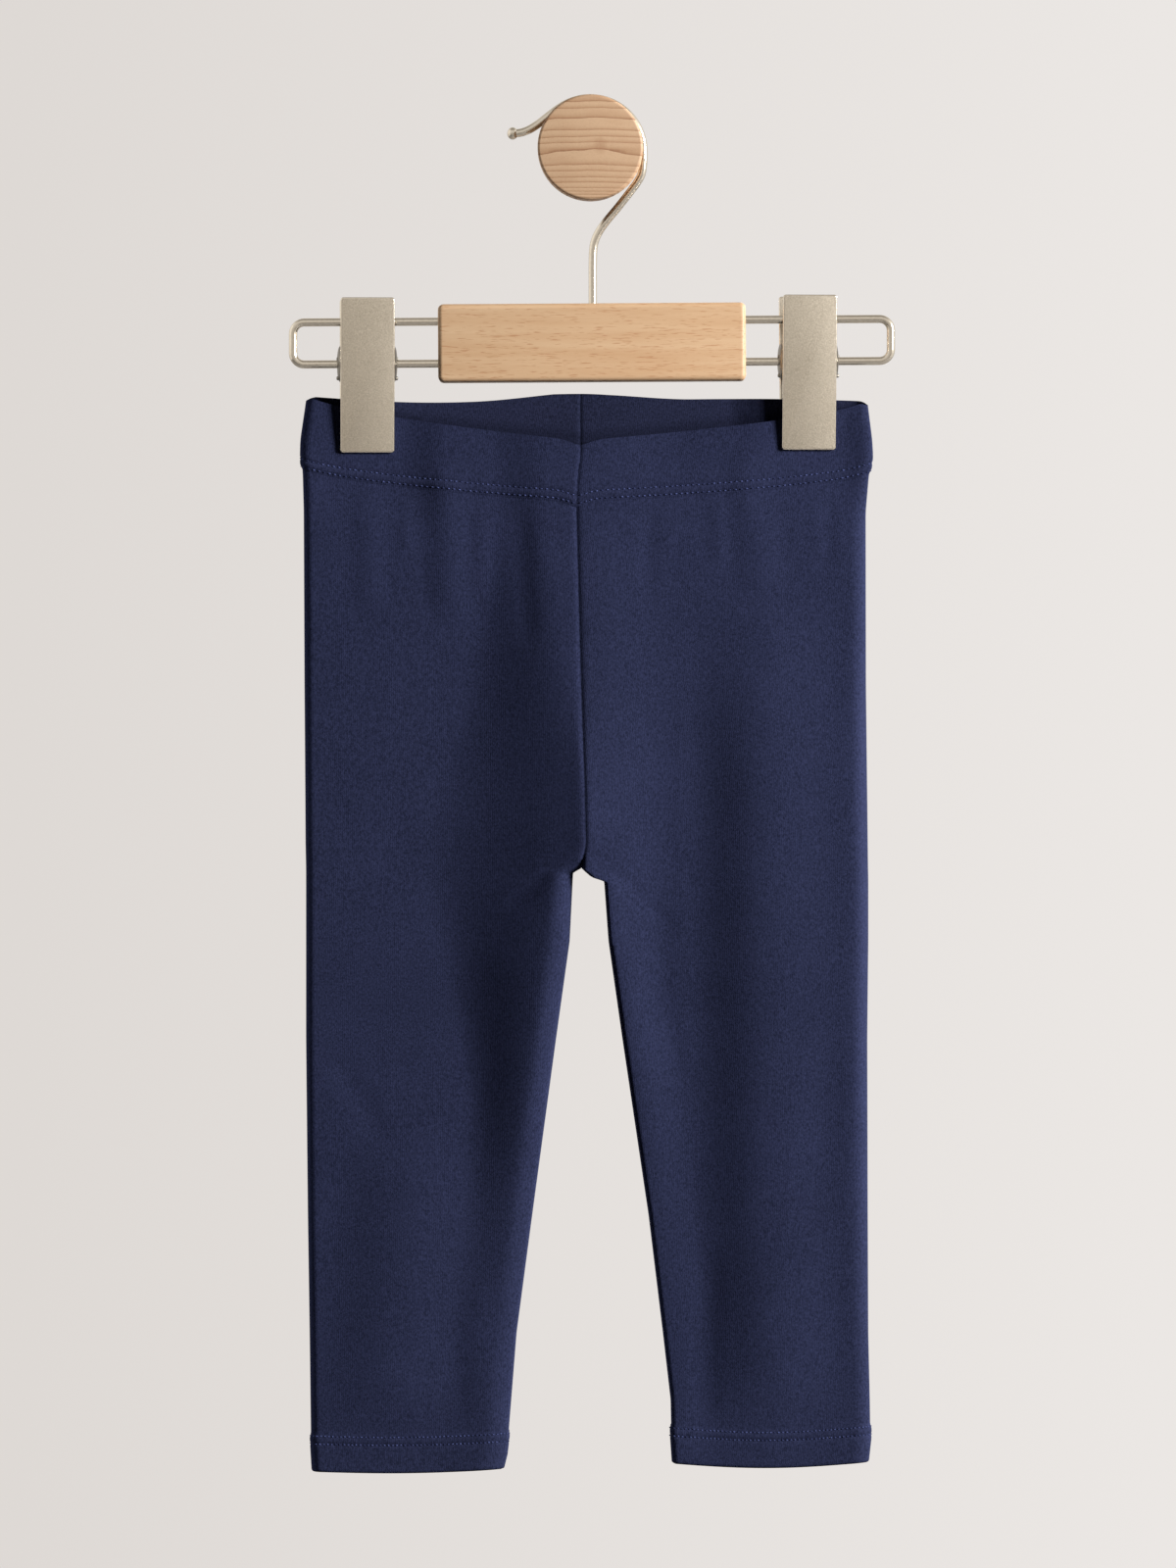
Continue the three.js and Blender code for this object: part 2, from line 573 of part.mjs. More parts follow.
function blockGeometry() {
  const body = slab(BLOCK.width, BLOCK.height, BLOCK.depth, BLOCK.corner, BLOCK.round);
  body.rotateY(-THREE.MathUtils.degToRad(ROLL));
  body.translate(BLOCK.x, PLANE_Y, rolled(BLOCK.z, BLOCK.x));
  let cut = solid(body);
  const bore = WIRE / 2 + BORE_GAP;
  const depth = ARM_INSERT + BORE_PAST;
  const overcut = 2;
  for (const sign of [-1, 1]) {
    for (const z of [ARM_TOP_Z, ARM_BOTTOM_Z]) {
      const middle = BLOCK.x + sign * (BLOCK.width / 2 - depth / 2 + overcut);
      const tool = rod(bore, depth + 2 * overcut, 'x');
      tool.rotateY(-THREE.MathUtils.degToRad(ROLL));
      tool.translate(middle, PLANE_Y, rolled(z, middle));
      cut = cut.subtract(solid(tool));
    }
  }
  const shankTop = BLOCK.z + BLOCK.height / 2 + overcut;
  const shankBore = shankTop - SHANK_BOTTOM + BORE_GAP;
  const shank = rod(bore, shankBore, 'z');
  shank.translate(SHANK_X, PLANE_Y, shankTop - shankBore / 2);
  return geometryOf(cut.subtract(solid(shank)));
}

function pegGeometry() {
  const steps = 3;
  const profile = [[0, 0], [PEG_NECK_RADIUS, 0], [PEG_NECK_RADIUS, PEG_NECK_LENGTH]];
  const corner = (y, from) => {
    for (let i = 0; i <= steps; i += 1) {
      const a = THREE.MathUtils.degToRad(from + (90 * i) / steps);
      const r = PEG_HEAD_RADIUS - PEG_ROUND + PEG_ROUND * Math.cos(a);
      profile.push([r, y + PEG_ROUND * Math.sin(a)]);
    }
  };
  corner(PEG_NECK_LENGTH + PEG_ROUND, -90);
  corner(PEG_LENGTH - PEG_ROUND, 0);
  profile.push([0, PEG_LENGTH]);
  const g = new THREE.LatheGeometry(profile.map(([r, y]) => new THREE.Vector2(r, y)), 44);
  return g.rotateX(Math.PI);
}

// Clip plate in the clip's own frame: x across, y back from the viewer, z up, with the
// clip's middle on the waistband's middle plane. facing is -1 for the front plate.
// An ear is set in a little from the plate's side and runs from the plate, which leans, to
// its round end about the axle.
const EAR = {
  thickness: 1, inset: 0.5, plateTop: 7.2, plateBottom: 5.7, reach: 4.6, hole: 2.7, top: 7.2,
  bottom: 9.2,
};

function clipPlate(facing) {
  const height = CLIP_TOP - CLIP_BOTTOM;
  const lean = Math.atan2(CLIP_HEAD_INNER - JAW_INNER, height);
  const plate = slab(CLIP_WIDTH, height, CLIP_SHEET, CLIP_CORNER, CLIP_EDGE, 1);
  plate.rotateX(-facing * lean);
  const middle = facing * ((CLIP_HEAD_INNER + JAW_INNER) / 2 + CLIP_SHEET / 2);
  plate.translate(0, middle, (CLIP_TOP + CLIP_BOTTOM) / 2);
  let body = solid(plate);
  const axle = ARM_BOTTOM_Z;
  const inner = facing < 0 ? 0 : EAR.thickness + GAP;
  for (const side of [-1, 1]) {
    const x = side * (CLIP_WIDTH / 2 - EAR.inset - EAR.thickness / 2 - inner);
    body = body.add(solid(earGeometry(facing, x, axle)));
    const hole = rod(EAR.hole, EAR.thickness + 2, 'x');
    hole.translate(x, 0, axle);
    body = body.subtract(solid(hole));
  }
  return geometryOf(body);
}

// Side ear of a plate: from the plate in to a round end about the arm wire.
function earGeometry(facing, x, axle) {
  const s = new THREE.Shape();
  s.moveTo(EAR.plateTop, EAR.top);
  s.lineTo(EAR.plateBottom, -EAR.bottom);
  s.lineTo(0, -EAR.reach);
  s.absarc(0, 0, EAR.reach, -Math.PI / 2, Math.PI / 2, true);
  const g = new THREE.ExtrudeGeometry(s, {
    depth: EAR.thickness, bevelEnabled: false, curveSegments: 7,
  });
  g.translate(0, 0, -EAR.thickness / 2);
  // The shape's x runs towards the plate and its y up; the extrusion runs across the clip.
  const frame = new THREE.Matrix4().makeBasis(
    new THREE.Vector3(0, facing, 0),
    new THREE.Vector3(0, 0, 1),
    new THREE.Vector3(facing, 0, 0),
  );
  return g.applyMatrix4(frame).translate(x, 0, axle);
}

// Coil spring about the arm wire, as a sleeve with its true outer and inner diameter.
const SPRING = { outer: 4.2, inner: 2.6, length: 14 };

function springGeometry() {
  const half = SPRING.length / 2;
  const profile = [
    [SPRING.inner, -half], [SPRING.outer, -half], [SPRING.outer, half], [SPRING.inner, half],
    [SPRING.inner, -half],
  ];
  const g = new THREE.LatheGeometry(profile.map(([r, y]) => new THREE.Vector2(r, y)), 20);
  g.rotateZ(Math.PI / 2);
  return g.translate(0, 0, ARM_BOTTOM_Z);
}

const material = (color, roughness, metalness) => (
  new THREE.MeshStandardMaterial({ color, roughness, metalness })
);
const JERSEY_NAVY = material('#292d47', 0.92, 0);
const BEECH = material('#d3ac82', 0.6, 0);
const NICKEL = material('#b5ab99', 0.32, 1);

const root = new THREE.Group();
const hung = new THREE.Group();
hung.position.z = -HANG_DROP;
root.add(hung);

function piece(name, geometry, finish, parent = hung) {
  const mesh = new THREE.Mesh(geometry, finish);
  mesh.name = name;
  parent.add(mesh);
  return mesh;
}

for (const leg of ['right', 'left']) {
  const half = halfOf(leg);
  piece(`leg_${leg}`, legPanel(half), JERSEY_NAVY);
  piece(`waistband_${leg}`, waistband(half), JERSEY_NAVY);
  piece(`hem_${leg}`, hem(half), JERSEY_NAVY);

  const clip = new THREE.Group();
  clip.position.set(half.clip.x, PLANE_Y, rolled(0, half.clip.x));
  clip.rotation.z = THREE.MathUtils.degToRad(half.clip.turn);
  hung.add(clip);
  piece(`clip_${leg}_front`, clipPlate(-1), NICKEL, clip);
  piece(`clip_${leg}_back`, clipPlate(1), NICKEL, clip);
  piece(`clip_${leg}_spring`, springGeometry(), NICKEL, clip);
  piece(`wire_${leg}`, armWire(half.sign), NICKEL);
}
piece('block', blockGeometry(), BEECH);
piece('hook', hookGeometry(), NICKEL);
piece('wall_peg', pegGeometry(), BEECH, root);

export default root;
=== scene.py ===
# %% [markdown]
# # Cropped leggings on a clip hanger
# A small child's navy jersey leggings hang flat from a wire hanger with two sheet-metal
# clips. Its hook goes over a round wooden peg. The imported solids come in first, and each
# piece made below takes the place of one of them, or is sewn to one, in the same frame.

# %% Load the solids
import math
import random

import bmesh
import bpy
import numpy as np
from mathutils import Matrix, Vector


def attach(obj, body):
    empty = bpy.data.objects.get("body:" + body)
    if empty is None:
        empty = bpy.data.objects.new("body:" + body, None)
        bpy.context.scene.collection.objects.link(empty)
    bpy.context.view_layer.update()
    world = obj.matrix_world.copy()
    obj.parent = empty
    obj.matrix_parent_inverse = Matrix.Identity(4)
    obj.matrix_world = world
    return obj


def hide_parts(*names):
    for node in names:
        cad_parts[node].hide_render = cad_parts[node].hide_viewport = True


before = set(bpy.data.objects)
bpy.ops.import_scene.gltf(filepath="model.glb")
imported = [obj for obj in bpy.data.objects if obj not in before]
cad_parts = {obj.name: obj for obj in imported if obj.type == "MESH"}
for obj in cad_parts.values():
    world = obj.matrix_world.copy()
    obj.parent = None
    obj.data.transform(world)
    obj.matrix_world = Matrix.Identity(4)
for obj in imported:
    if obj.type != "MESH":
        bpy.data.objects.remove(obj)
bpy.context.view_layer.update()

# %% [markdown]
# ## Camera
# The picture was taken square on, from far away with a long lens: the peg and the clips
# show no sides. So the camera stands four metres off and looks straight at the cloth.

# %% Camera
MM = 0.001
PLANE_Y = -24.0
EYE = (-0.87, PLANE_Y - 4000.0, -245.95)

camera_data = bpy.data.cameras.new("long_lens")
camera_data.lens = 236.84
camera_data.sensor_width = 36.0
camera_data.clip_end = 100.0
camera = bpy.data.objects.new("long_lens", camera_data)
camera.location = [v * MM for v in EYE]
camera.rotation_euler = (math.radians(90), 0, 0)
bpy.context.scene.collection.objects.link(camera)
bpy.context.scene.camera = camera
bpy.context.scene.view_settings.view_transform = "Standard"
print("camera", [round(v, 3) for v in camera.location])

# %% [markdown]
# ## Writing shader maths as expressions
# A material is a small graph of nodes. Three classes keep it readable. `Value` wraps a
# socket, so that an expression such as `1 - mask * 0.3` adds the Math nodes that it needs.
# `Graph` is a tree with one method that adds any node, and `Finish` is a material's graph.


# %% Value
class Value:
    """A socket that can be used in an expression of numbers."""

    def __init__(self, graph, socket):
        self.graph = graph
        self.socket = socket

    def math(self, operation, a, b=0.0):
        return self.graph.node("ShaderNodeMath", {"operation": operation}, {0: a, 1: b})

    def __add__(self, other):
        return self.math("ADD", self, other)

    def __sub__(self, other):
        return self.math("SUBTRACT", self, other)

    def __rsub__(self, other):
        return self.math("SUBTRACT", other, self)

    def __mul__(self, other):
        return self.math("MULTIPLY", self, other)

    def __pow__(self, other):
        return self.math("POWER", self, other)

    def __abs__(self):
        return self.math("ABSOLUTE", self)

    __radd__ = __add__
    __rmul__ = __mul__

    def sine(self):
        return self.math("SINE", self)

    def fraction(self):
        return self.math("FRACT", self)

    def limit(self):
        return self.math("MAXIMUM", self.math("MINIMUM", self, 1.0), 0.0)


print("expressions ready")


# %% Graph
class Graph:
    """A tree of shader nodes, and the one method that adds a node to it."""

    def __init__(self, tree):
        self.tree = tree

    def node(self, kind, settings=None, inputs=None, output=0):
        made = self.tree.nodes.new(kind)
        for key, value in (settings or {}).items():
            if key == "stops":
                self.stops(made.color_ramp, value)
            else:
                setattr(made, key, value)
        for key, value in (inputs or {}).items():
            self.feed(made.inputs[key], value)
        return Value(self, made.outputs[output])

    def feed(self, socket, value):
        if isinstance(value, Value):
            self.tree.links.new(value.socket, socket)
        else:
            socket.default_value = value

    def stops(self, ramp, stops):
        while len(ramp.elements) < len(stops):
            ramp.elements.new(0.5)
        for element, (place, colour) in zip(ramp.elements, stops):
            element.position = place
            element.color = colour


print("graph ready")


# %% Finish
class Finish(Graph):
    """One material: its graph, and what its shader's sockets are set to."""

    def __init__(self, name, roughness, metallic=0.0, **constants):
        self.material = bpy.data.materials.new(name)
        self.material.use_nodes = True
        super().__init__(self.material.node_tree)
        self.shader = self.tree.nodes["Principled BSDF"]
        self.set("Roughness", roughness)
        self.set("Metallic", metallic)
        for socket, value in constants.items():
            self.shader.inputs[socket.replace("_", " ")].default_value = value

    def set(self, socket, value):
        self.feed(self.shader.inputs[socket], value)

    def place(self):
        """Place on the object in millimetres."""
        return self.scaled(self.node("ShaderNodeTexCoord", output="Object"), (1000,) * 3)

    def scaled(self, vector, scale):
        return self.node(
            "ShaderNodeVectorMath", {"operation": "MULTIPLY"}, {0: vector, 1: scale}
        )

    def parts(self, vector):
        return [
            self.node("ShaderNodeSeparateXYZ", inputs={0: vector}, output=i) for i in range(3)
        ]

    def noise(self, vector, scale, detail=2.0, roughness=0.5):
        return self.node(
            "ShaderNodeTexNoise",
            {"noise_dimensions": "3D"},
            {"Vector": vector, "Scale": scale, "Detail": detail, "Roughness": roughness},
        )

    def blend(self, factor, a, b):
        """Colour a where the factor is 0, and b where it is 1."""
        return self.node(
            "ShaderNodeMix",
            {"data_type": "RGBA", "clamp_factor": True},
            {0: factor, 6: a, 7: b},
            output=2,
        )

    def relief(self, height, depth_mm):
        """Bump whose full height is depth_mm."""
        distance = depth_mm * MM
        bump = {"Strength": 1.0, "Distance": distance, "Height": height}
        self.set("Normal", self.node("ShaderNodeBump", inputs=bump))


def paint(red, green, blue):
    """A colour read off a screen, as the linear value that a shader takes."""
    def linear(v):
        v /= 255
        return v / 12.92 if v <= 0.04045 else ((v + 0.055) / 1.055) ** 2.4
    return (linear(red), linear(green), linear(blue), 1.0)


print("finish ready")

# %% [markdown]
# ## Navy jersey
# The cloth is a fine single jersey: columns of small V stitches that run down the leg. The
# cloth pieces carry a map, across and along the cloth, and the V is drawn from it: a column
# is a fold of the across value, and the rows of the V lean with it. The yarn is a little
# heathered, so fine noise lightens some stitches and dulls others. The inside of the cloth
# is darker, partly as the duller reverse of the knit and partly as painted shade. More
# painted shade darkens it below the height of the front rim, fading out just above it.


# %% Jersey
WALE, COURSE = 0.74, 0.56
# Where the front rim runs, and how the painted shade inside the garment fades out above it.
HOLLOW_HALF, HOLLOW_TOP, HOLLOW_SAG, HOLLOW_POWER = 109, -96.4, 15.2, 0.65
PAINTED_SHADE_FADE, PAINTED_HOLLOW_SHADE = 4, 0.42


def knitted(name, dark, light, hollow=False):
    """A jersey finish: V stitches, heathered yarn and a soft bloom of fibres; with hollow,
    painted shade inside.
    """
    cloth = Finish(
        name, 0.88, Sheen_Weight=0.03, Sheen_Roughness=0.5, Sheen_Tint=paint(140, 148, 205),
        Specular_IOR_Level=0.03,
    )
    across, along, _ = cloth.parts(
        cloth.scaled(cloth.node("ShaderNodeUVMap", {"uv_map": "cloth"}), (1000, 1000, 1000))
    )
    column = abs((across * (1 / WALE)).fraction() - 0.5) * 2
    lean = (along * (1 / COURSE) + column * 0.5) * (2 * math.pi)
    loops = lean.sine() * 0.5 + 0.5
    rib = 1 - column ** 2
    stitch = rib * 0.6 + loops * 0.4
    place = cloth.place()
    yarn = cloth.noise(cloth.scaled(place, (1.0, 1.0, 0.6)), 1.6, 3.0, 0.7)
    patch = cloth.noise(place, 0.035, 2.0)
    heather = ((yarn - 0.5) * 2.9 + (patch - 0.5) * 0.35 + stitch * 0.16 + 0.42).limit()
    colour = cloth.blend(heather, dark, light)
    # With hollow, painted shade: the inside is blended towards almost black below the front rim's
    # height, fading out a few millimetres above it.
    if hollow:
        x, _, z = cloth.parts(place)
        curve = (1 - abs(x) * (1 / HOLLOW_HALF)).limit() ** HOLLOW_POWER
        front_rim = curve * -HOLLOW_SAG + HOLLOW_TOP
        painted_shade_mask = (1 - (z - front_rim) * (1 / PAINTED_SHADE_FADE)).limit()
        colour = cloth.blend(painted_shade_mask * PAINTED_HOLLOW_SHADE, colour, paint(14, 16, 30))
    cloth.set("Base Color", colour)
    cloth.set("Roughness", yarn * 0.12 + 0.82)
    cloth.relief(stitch * 0.5 + yarn * 0.9, 0.09)
    return cloth.material


JERSEY_CLOTH = knitted("navy_jersey", paint(29, 33, 54), paint(52, 57, 88))
# The inside's darker colours are partly the duller reverse of the knit and partly painted shade.
JERSEY_INSIDE_SHADED = knitted("navy_jersey_inside_shaded", paint(26, 29, 47), paint(47, 51, 78), True)
thread = Finish("navy_thread", 0.6, Specular_IOR_Level=0.1)
worn = thread.noise(thread.place(), 0.42, 1.0)
thread.set(
    "Base Color",
    thread.blend(((worn - 0.5) * 3.5 + 0.5).limit(), paint(35, 41, 74), paint(76, 85, 132)),
)
thread.set("Roughness", worn * 0.2 + 0.5)
THREAD = thread.material
print("cloth finishes", JERSEY_CLOTH.name, JERSEY_INSIDE_SHADED.name, THREAD.name)

# %% [markdown]
# ## Nickel and beech
# The clip plates are blasted to a satin grain, while their edges and the wires are
# polished. The wood is beech: on the long side of the block it shows short dark flecks that
# run with the grain, and on the peg's face the growth rings cross as thin level lines.

# %% Nickel
satin = Finish("satin_nickel", 0.5, 1.0)
grain = satin.noise(satin.place(), 1.9, 3.0, 0.75)
cloudy = satin.noise(satin.place(), 0.05, 2.0)
mottle = ((grain - 0.5) * 2.2 + (cloudy - 0.5) * 0.5 + 0.5).limit()
satin.set("Base Color", satin.blend(mottle, paint(172, 163, 148), paint(208, 199, 184)))
satin.set("Roughness", grain * 0.14 + 0.32)
satin.relief(grain, 0.05)
SATIN_NICKEL = satin.material

bright = Finish("polished_nickel", 0.16, 1.0)
rub = bright.noise(bright.place(), 0.9, 2.0)
bright.set("Base Color", bright.blend(rub, paint(196, 187, 172), paint(222, 215, 203)))
bright.set("Roughness", rub * 0.12 + 0.12)
POLISHED_NICKEL = bright.material

steel = Finish("spring_steel", 0.34, 1.0)
rub = steel.noise(steel.place(), 1.4, 2.0)
steel.set("Base Color", steel.blend(rub, paint(104, 100, 94), paint(150, 145, 136)))
SPRING_STEEL = steel.material
print("metals ready")

# %% Beech
beech = Finish("beech_side_grain", 0.52, Coat_Weight=0.06, Coat_Roughness=0.4)
place = beech.place()
bands = beech.noise(beech.scaled(place, (0.012, 0.10, 0.22)), 1.0, 3.0, 0.55)
flecks = beech.noise(beech.scaled(place, (0.22, 1.6, 2.6)), 1.0, 1.0)
pores = beech.noise(beech.scaled(place, (0.16, 3.0, 5.0)), 1.0, 2.0, 0.6)
fleck = ((flecks - 0.60) * 9.0).limit()
broad = ((bands - 0.5) * 1.7 + 0.5).limit()
wood = beech.blend(broad, paint(208, 164, 123), paint(230, 196, 158))
wood = beech.blend(fleck * 0.60, wood, paint(184, 124, 82))
wood = beech.blend(((pores - 0.45) * 1.5).limit() * 0.25, wood, paint(186, 146, 108))
beech.set("Base Color", wood)
beech.set("Roughness", fleck * 0.10 + 0.48)
beech.relief(1 - pores * 0.6 - fleck * 0.3, 0.05)
BEECH_SIDE = beech.material

ends = Finish("beech_peg", 0.55, Coat_Weight=0.05, Coat_Roughness=0.4)
place = ends.place()
x, y, z = ends.parts(place)
sway = ends.noise(ends.scaled(place, (0.05, 0.02, 0.06)), 1.0, 2.0)
width = ends.noise(ends.scaled(place, (0.002, 0.01, 0.16)), 1.0, 1.0)
low = ((z + 7) * (-1 / 13)).limit()
level = z * -0.29 + x * x * -0.0006 + sway * 0.42 + width * 2.2 + low ** 2 * 3.2
ring = (level + 40).fraction()
late = ring ** 3
edge = ((ring - 0.90) * 12).limit()
rays = ends.noise(ends.scaled(place, (0.9, 0.02, 0.10)), 1.0, 2.0, 0.6)
speck = ends.noise(ends.scaled(place, (1.1, 0.1, 2.6)), 1.0, 3.0, 0.7)
tint = ends.noise(ends.scaled(place, (0.07, 0.02, 0.25)), 1.0, 2.0)
wood = ends.blend(late * 0.85, paint(211, 176, 142), paint(169, 125, 89))
wood = ends.blend(edge * 0.60, wood, paint(136, 90, 60))
wood = ends.blend(((tint - 0.45) * 2.6).limit() * 0.35, wood, paint(176, 130, 98))
wood = ends.blend(((speck - 0.5) * 4.0).limit() * 0.22, wood, paint(150, 108, 78))
across, down = (x - 3.9) * (1 / 3.0), (z - 0.6) * (1 / 3.8)
patch = (1 - across ** 2 - down ** 2).limit()
wood = ends.blend(patch * 0.3, wood, paint(156, 106, 72))
wood = ends.blend(((rays - 0.5) * 4.0).limit() * 0.14, wood, paint(212, 184, 150))
ends.set("Base Color", wood)
ends.set("Roughness", late * 0.08 + 0.5)
ends.relief(1 - late * 0.3 - speck * 0.5, 0.08)
BEECH_PEG = ends.material
print("woods ready")

# %% [markdown]
# ## Meshes from grids
# Most pieces here are thin skins or round wires. It is quickest and cleanest to work out
# their points as arrays and hand them to Blender, rather than to model them by hand.


# %% Mesh helpers
HANG_DROP = 0.6
NEAR_AXIS = 0.05


def hung(points):
    """Points in millimetres on the hanger, as metres, lowered to where its hook is seated."""
    return (np.asarray(points, float) + (0, 0, -HANG_DROP)) * MM


def mesh_piece(name, points, faces, material, sharp=50):
    """A mesh object with smooth faces and crisp edges above the given angle."""
    mesh = bpy.data.meshes.new(name)
    mesh.from_pydata([tuple(p) for p in points], [], faces)
    mesh.validate()
    mesh.update()
    mesh.polygons.foreach_set("use_smooth", [True] * len(mesh.polygons))
    mesh.set_sharp_from_angle(angle=math.radians(sharp))
    obj = bpy.data.objects.new(name, mesh)
    bpy.context.scene.collection.objects.link(obj)
    mesh.materials.append(material)
    return obj


def settle(obj, slot, *nodes):
    """Every piece here hangs still: it rides on the one body and replaces its solids."""
    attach(obj, "root")
    if nodes:
        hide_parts(*nodes)
    return obj


print("mesh helpers ready")


# %% Tubes
def tube_grid(path, radius, sides=20):
    """Rings of points round a path, without twist."""
    path = np.asarray(path, float)
    ahead = np.gradient(path, axis=0)
    ahead /= np.linalg.norm(ahead, axis=1, keepdims=True)
    side = np.cross(ahead[0], (0.0, 1.0, 0.0))
    if np.linalg.norm(side) < 0.1:
        side = np.cross(ahead[0], (1.0, 0.0, 0.0))
    rings = []
    turn = np.linspace(0, 2 * np.pi, sides, endpoint=False)[:, None]
    radii = np.broadcast_to(radius, len(path))
    for point, direction, r in zip(path, ahead, radii):
        side = side - direction * side.dot(direction)
        side /= np.linalg.norm(side)
        up = np.cross(direction, side)
        rings.append(point + r * (np.cos(turn) * side + np.sin(turn) * up))
    return rings


def tube_faces(count, sides, start=0):
    """Faces of a closed tube: its walls and both flat ends."""
    faces = []
    for i in range(count - 1):
        for k in range(sides):
            a, b = start + i * sides + k, start + i * sides + (k + 1) % sides
            faces.append((a, b, b + sides, a + sides))
    faces.append(tuple(start + k for k in reversed(range(sides))))
    faces.append(tuple(start + (count - 1) * sides + k for k in range(sides)))
    return faces


print("tubes ready")


# %% Piles of closed parts
class Pile:
    """Points and faces of several closed parts that make one piece."""

    def __init__(self):
        self.points = []
        self.faces = []

    def add(self, points, faces):
        start = len(self.points)
        self.points.extend(map(tuple, points))
        self.faces.extend(tuple(start + i for i in face) for face in faces)

    def tube(self, path, radius, sides=20):
        rings = tube_grid(path, radius, sides)
        self.add(np.concatenate(rings), tube_faces(len(rings), sides))

    def lathe(self, profile, centre, axis, sides=40):
        """A closed profile of (radius, along) pairs turned about an axis."""
        axis = Vector(axis).normalized()
        frame_of = axis.to_track_quat("Z", "X").to_matrix()
        turn = np.linspace(0, 2 * np.pi, sides, endpoint=False)
        ring = np.stack([np.cos(turn), np.sin(turn)], 1)
        points = [
            (r * c, r * s, h) for r, h in profile for c, s in ring
        ]
        turned = np.array(points) @ np.array(frame_of).T + np.asarray(centre, float)
        self.add(turned, tube_faces(len(profile), sides))

    def piece(self, name, material, sharp=50):
        return mesh_piece(name, hung(self.points), self.faces, material, sharp)


print("piles ready")


# %% Smooth paths
def smooth_path(places, step=0.8):
    """A curve through the given places, with points about one step apart."""
    p = np.asarray(places, float)
    p = np.vstack([2 * p[0] - p[1], p, 2 * p[-1] - p[-2]])
    out = []
    for i in range(1, len(p) - 2):
        length = np.linalg.norm(p[i + 1] - p[i])
        for t in np.arange(0, 1, min(step / max(length, step), 0.5)):
            out.append(
                0.5 * (
                    2 * p[i] + (p[i + 1] - p[i - 1]) * t
                    + (2 * p[i - 1] - 5 * p[i] + 4 * p[i + 1] - p[i + 2]) * t * t
                    + (3 * p[i] - p[i - 1] - 3 * p[i + 1] + p[i + 2]) * t ** 3
                )
            )
    out.append(p[-2])
    return np.array(out)


print("paths ready")

# %% [markdown]
# ## The form of the cloth
# Each leg is one panel that wraps round the outer side, from the centre-front seam to the
# centre-back seam. Two tables say where its edges are, seen from the front, and how far it
# stands off the middle plane. They repeat the sizes of the solids, apart from a slightly
# flatter waistband, so the cloth lies where its solids lie.

# %% Tables of the form
JERSEY, CASING, HEM, GAP = 1.1, 2.6, 2.2, 0.3
SIDE_ROUND = {"right": 2.6, "left": 5.0}
INSEAM_ROUND = {"right": 9.0, "left": 1.6}
INSEAM_HALF_GAP = 0.15
CROTCH_Z, CROTCH_U = -278.3, 6.0
EDGE_FOLLOW, MEET_WIDTH = 16.0, 46.0
HEM_HEIGHT = 15.2
SIGN = {"right": -1, "left": 1}


def table(columns, rows):
    return {name: np.array(values, float) for name, values in zip(columns.split(), zip(*rows))}


OUTLINE = {
    "right": table("z side inner spine", [
        (-95.0, -109.2, -3.9, -3.9), (-112.0, -111.7, -3.9, -3.9),
        (-120.0, -111.9, -3.9, -3.9), (-124.5, -111.5, -4.8, -4.8),
        (-139.0, -111.1, -5.4, -5.4), (-207.0, -110.8, -3.6, -3.6),
        (-250.0, -110.5, -2.1, -3.2), (-268.0, -110.4, -1.7, -4.2),
        (-278.2, -110.2, -3.4, -5.2), (-279.4, -110.2, -6.3, -5.3),
        (-306.0, -110.2, -7.6, -8.2), (-344.0, -110.2, -12.9, -12.9),
        (-412.0, -109.5, -22.1, -22.1), (-458.0, -108.8, -28.2, -28.2),
        (-498.0, -108.3, -31.4, -31.4), (-505.0, -107.9, -32.2, -32.2),
        (-513.0, -107.4, -34.2, -34.2),
    ]),
    "left": table("z side inner spine", [
        (-97.0, 106.7, -3.9, -3.9), (-112.0, 108.6, -3.9, -3.9),
        (-119.0, 109.0, -3.9, -3.9), (-126.0, 108.0, -4.8, -4.8),
        (-140.0, 106.8, -5.4, -5.4), (-207.0, 106.9, -3.6, -3.4),
        (-250.0, 107.4, -2.1, -0.8), (-268.0, 107.6, -1.7, 0.8),
        (-278.2, 107.7, -3.4, 2.0), (-281.4, 107.8, 0.2, 2.5),
        (-282.6, 107.8, 5.0, 2.7), (-306.0, 107.8, 6.7, 6.6),
        (-344.0, 107.4, 12.1, 12.1), (-412.0, 107.6, 22.2, 22.2),
        (-458.0, 107.8, 27.8, 27.8), (-484.0, 108.4, 30.8, 30.8),
        (-498.0, 108.6, 31.1, 31.1), (-511.0, 107.2, 32.0, 32.0),
    ]),
}
DEPTH = table("z front right left back_mid back meet", [
    (-95, 4.2, 2.3, 2.3, 2.6, 2.8, 0), (-113, 4.4, 2.4, 2.4, 2.8, 2.9, 0),
    (-128, 4.9, 3.1, 3.3, 3.4, 3.5, 1), (-139, 5.8, 3.8, 4.4, 4.0, 4.2, 2),
    (-169, 9.8, 4.6, 7.8, 5.0, 5.2, 4), (-207, 13.4, 4.6, 10.0, 6.0, 5.6, 7),
    (-245, 17.4, 4.6, 12.0, 6.0, 5.6, 9), (-265, 18.8, 4.6, 12.6, 5.0, 5.4, 9),
    (-285, 18.4, 4.6, 12.6, 3.0, 5.2, 8.5), (-321, 15.8, 4.8, 11.4, 2.6, 5.0, 7),
    (-364, 11.6, 5.0, 8.6, 3.6, 5.0, 4), (-412, 7.4, 5.2, 6.4, 4.6, 5.0, 1.4),
    (-460, 5.6, 4.8, 5.0, 4.8, 5.0, 0.3), (-515, 5.2, 4.6, 4.6, 4.8, 4.8, 0),
])
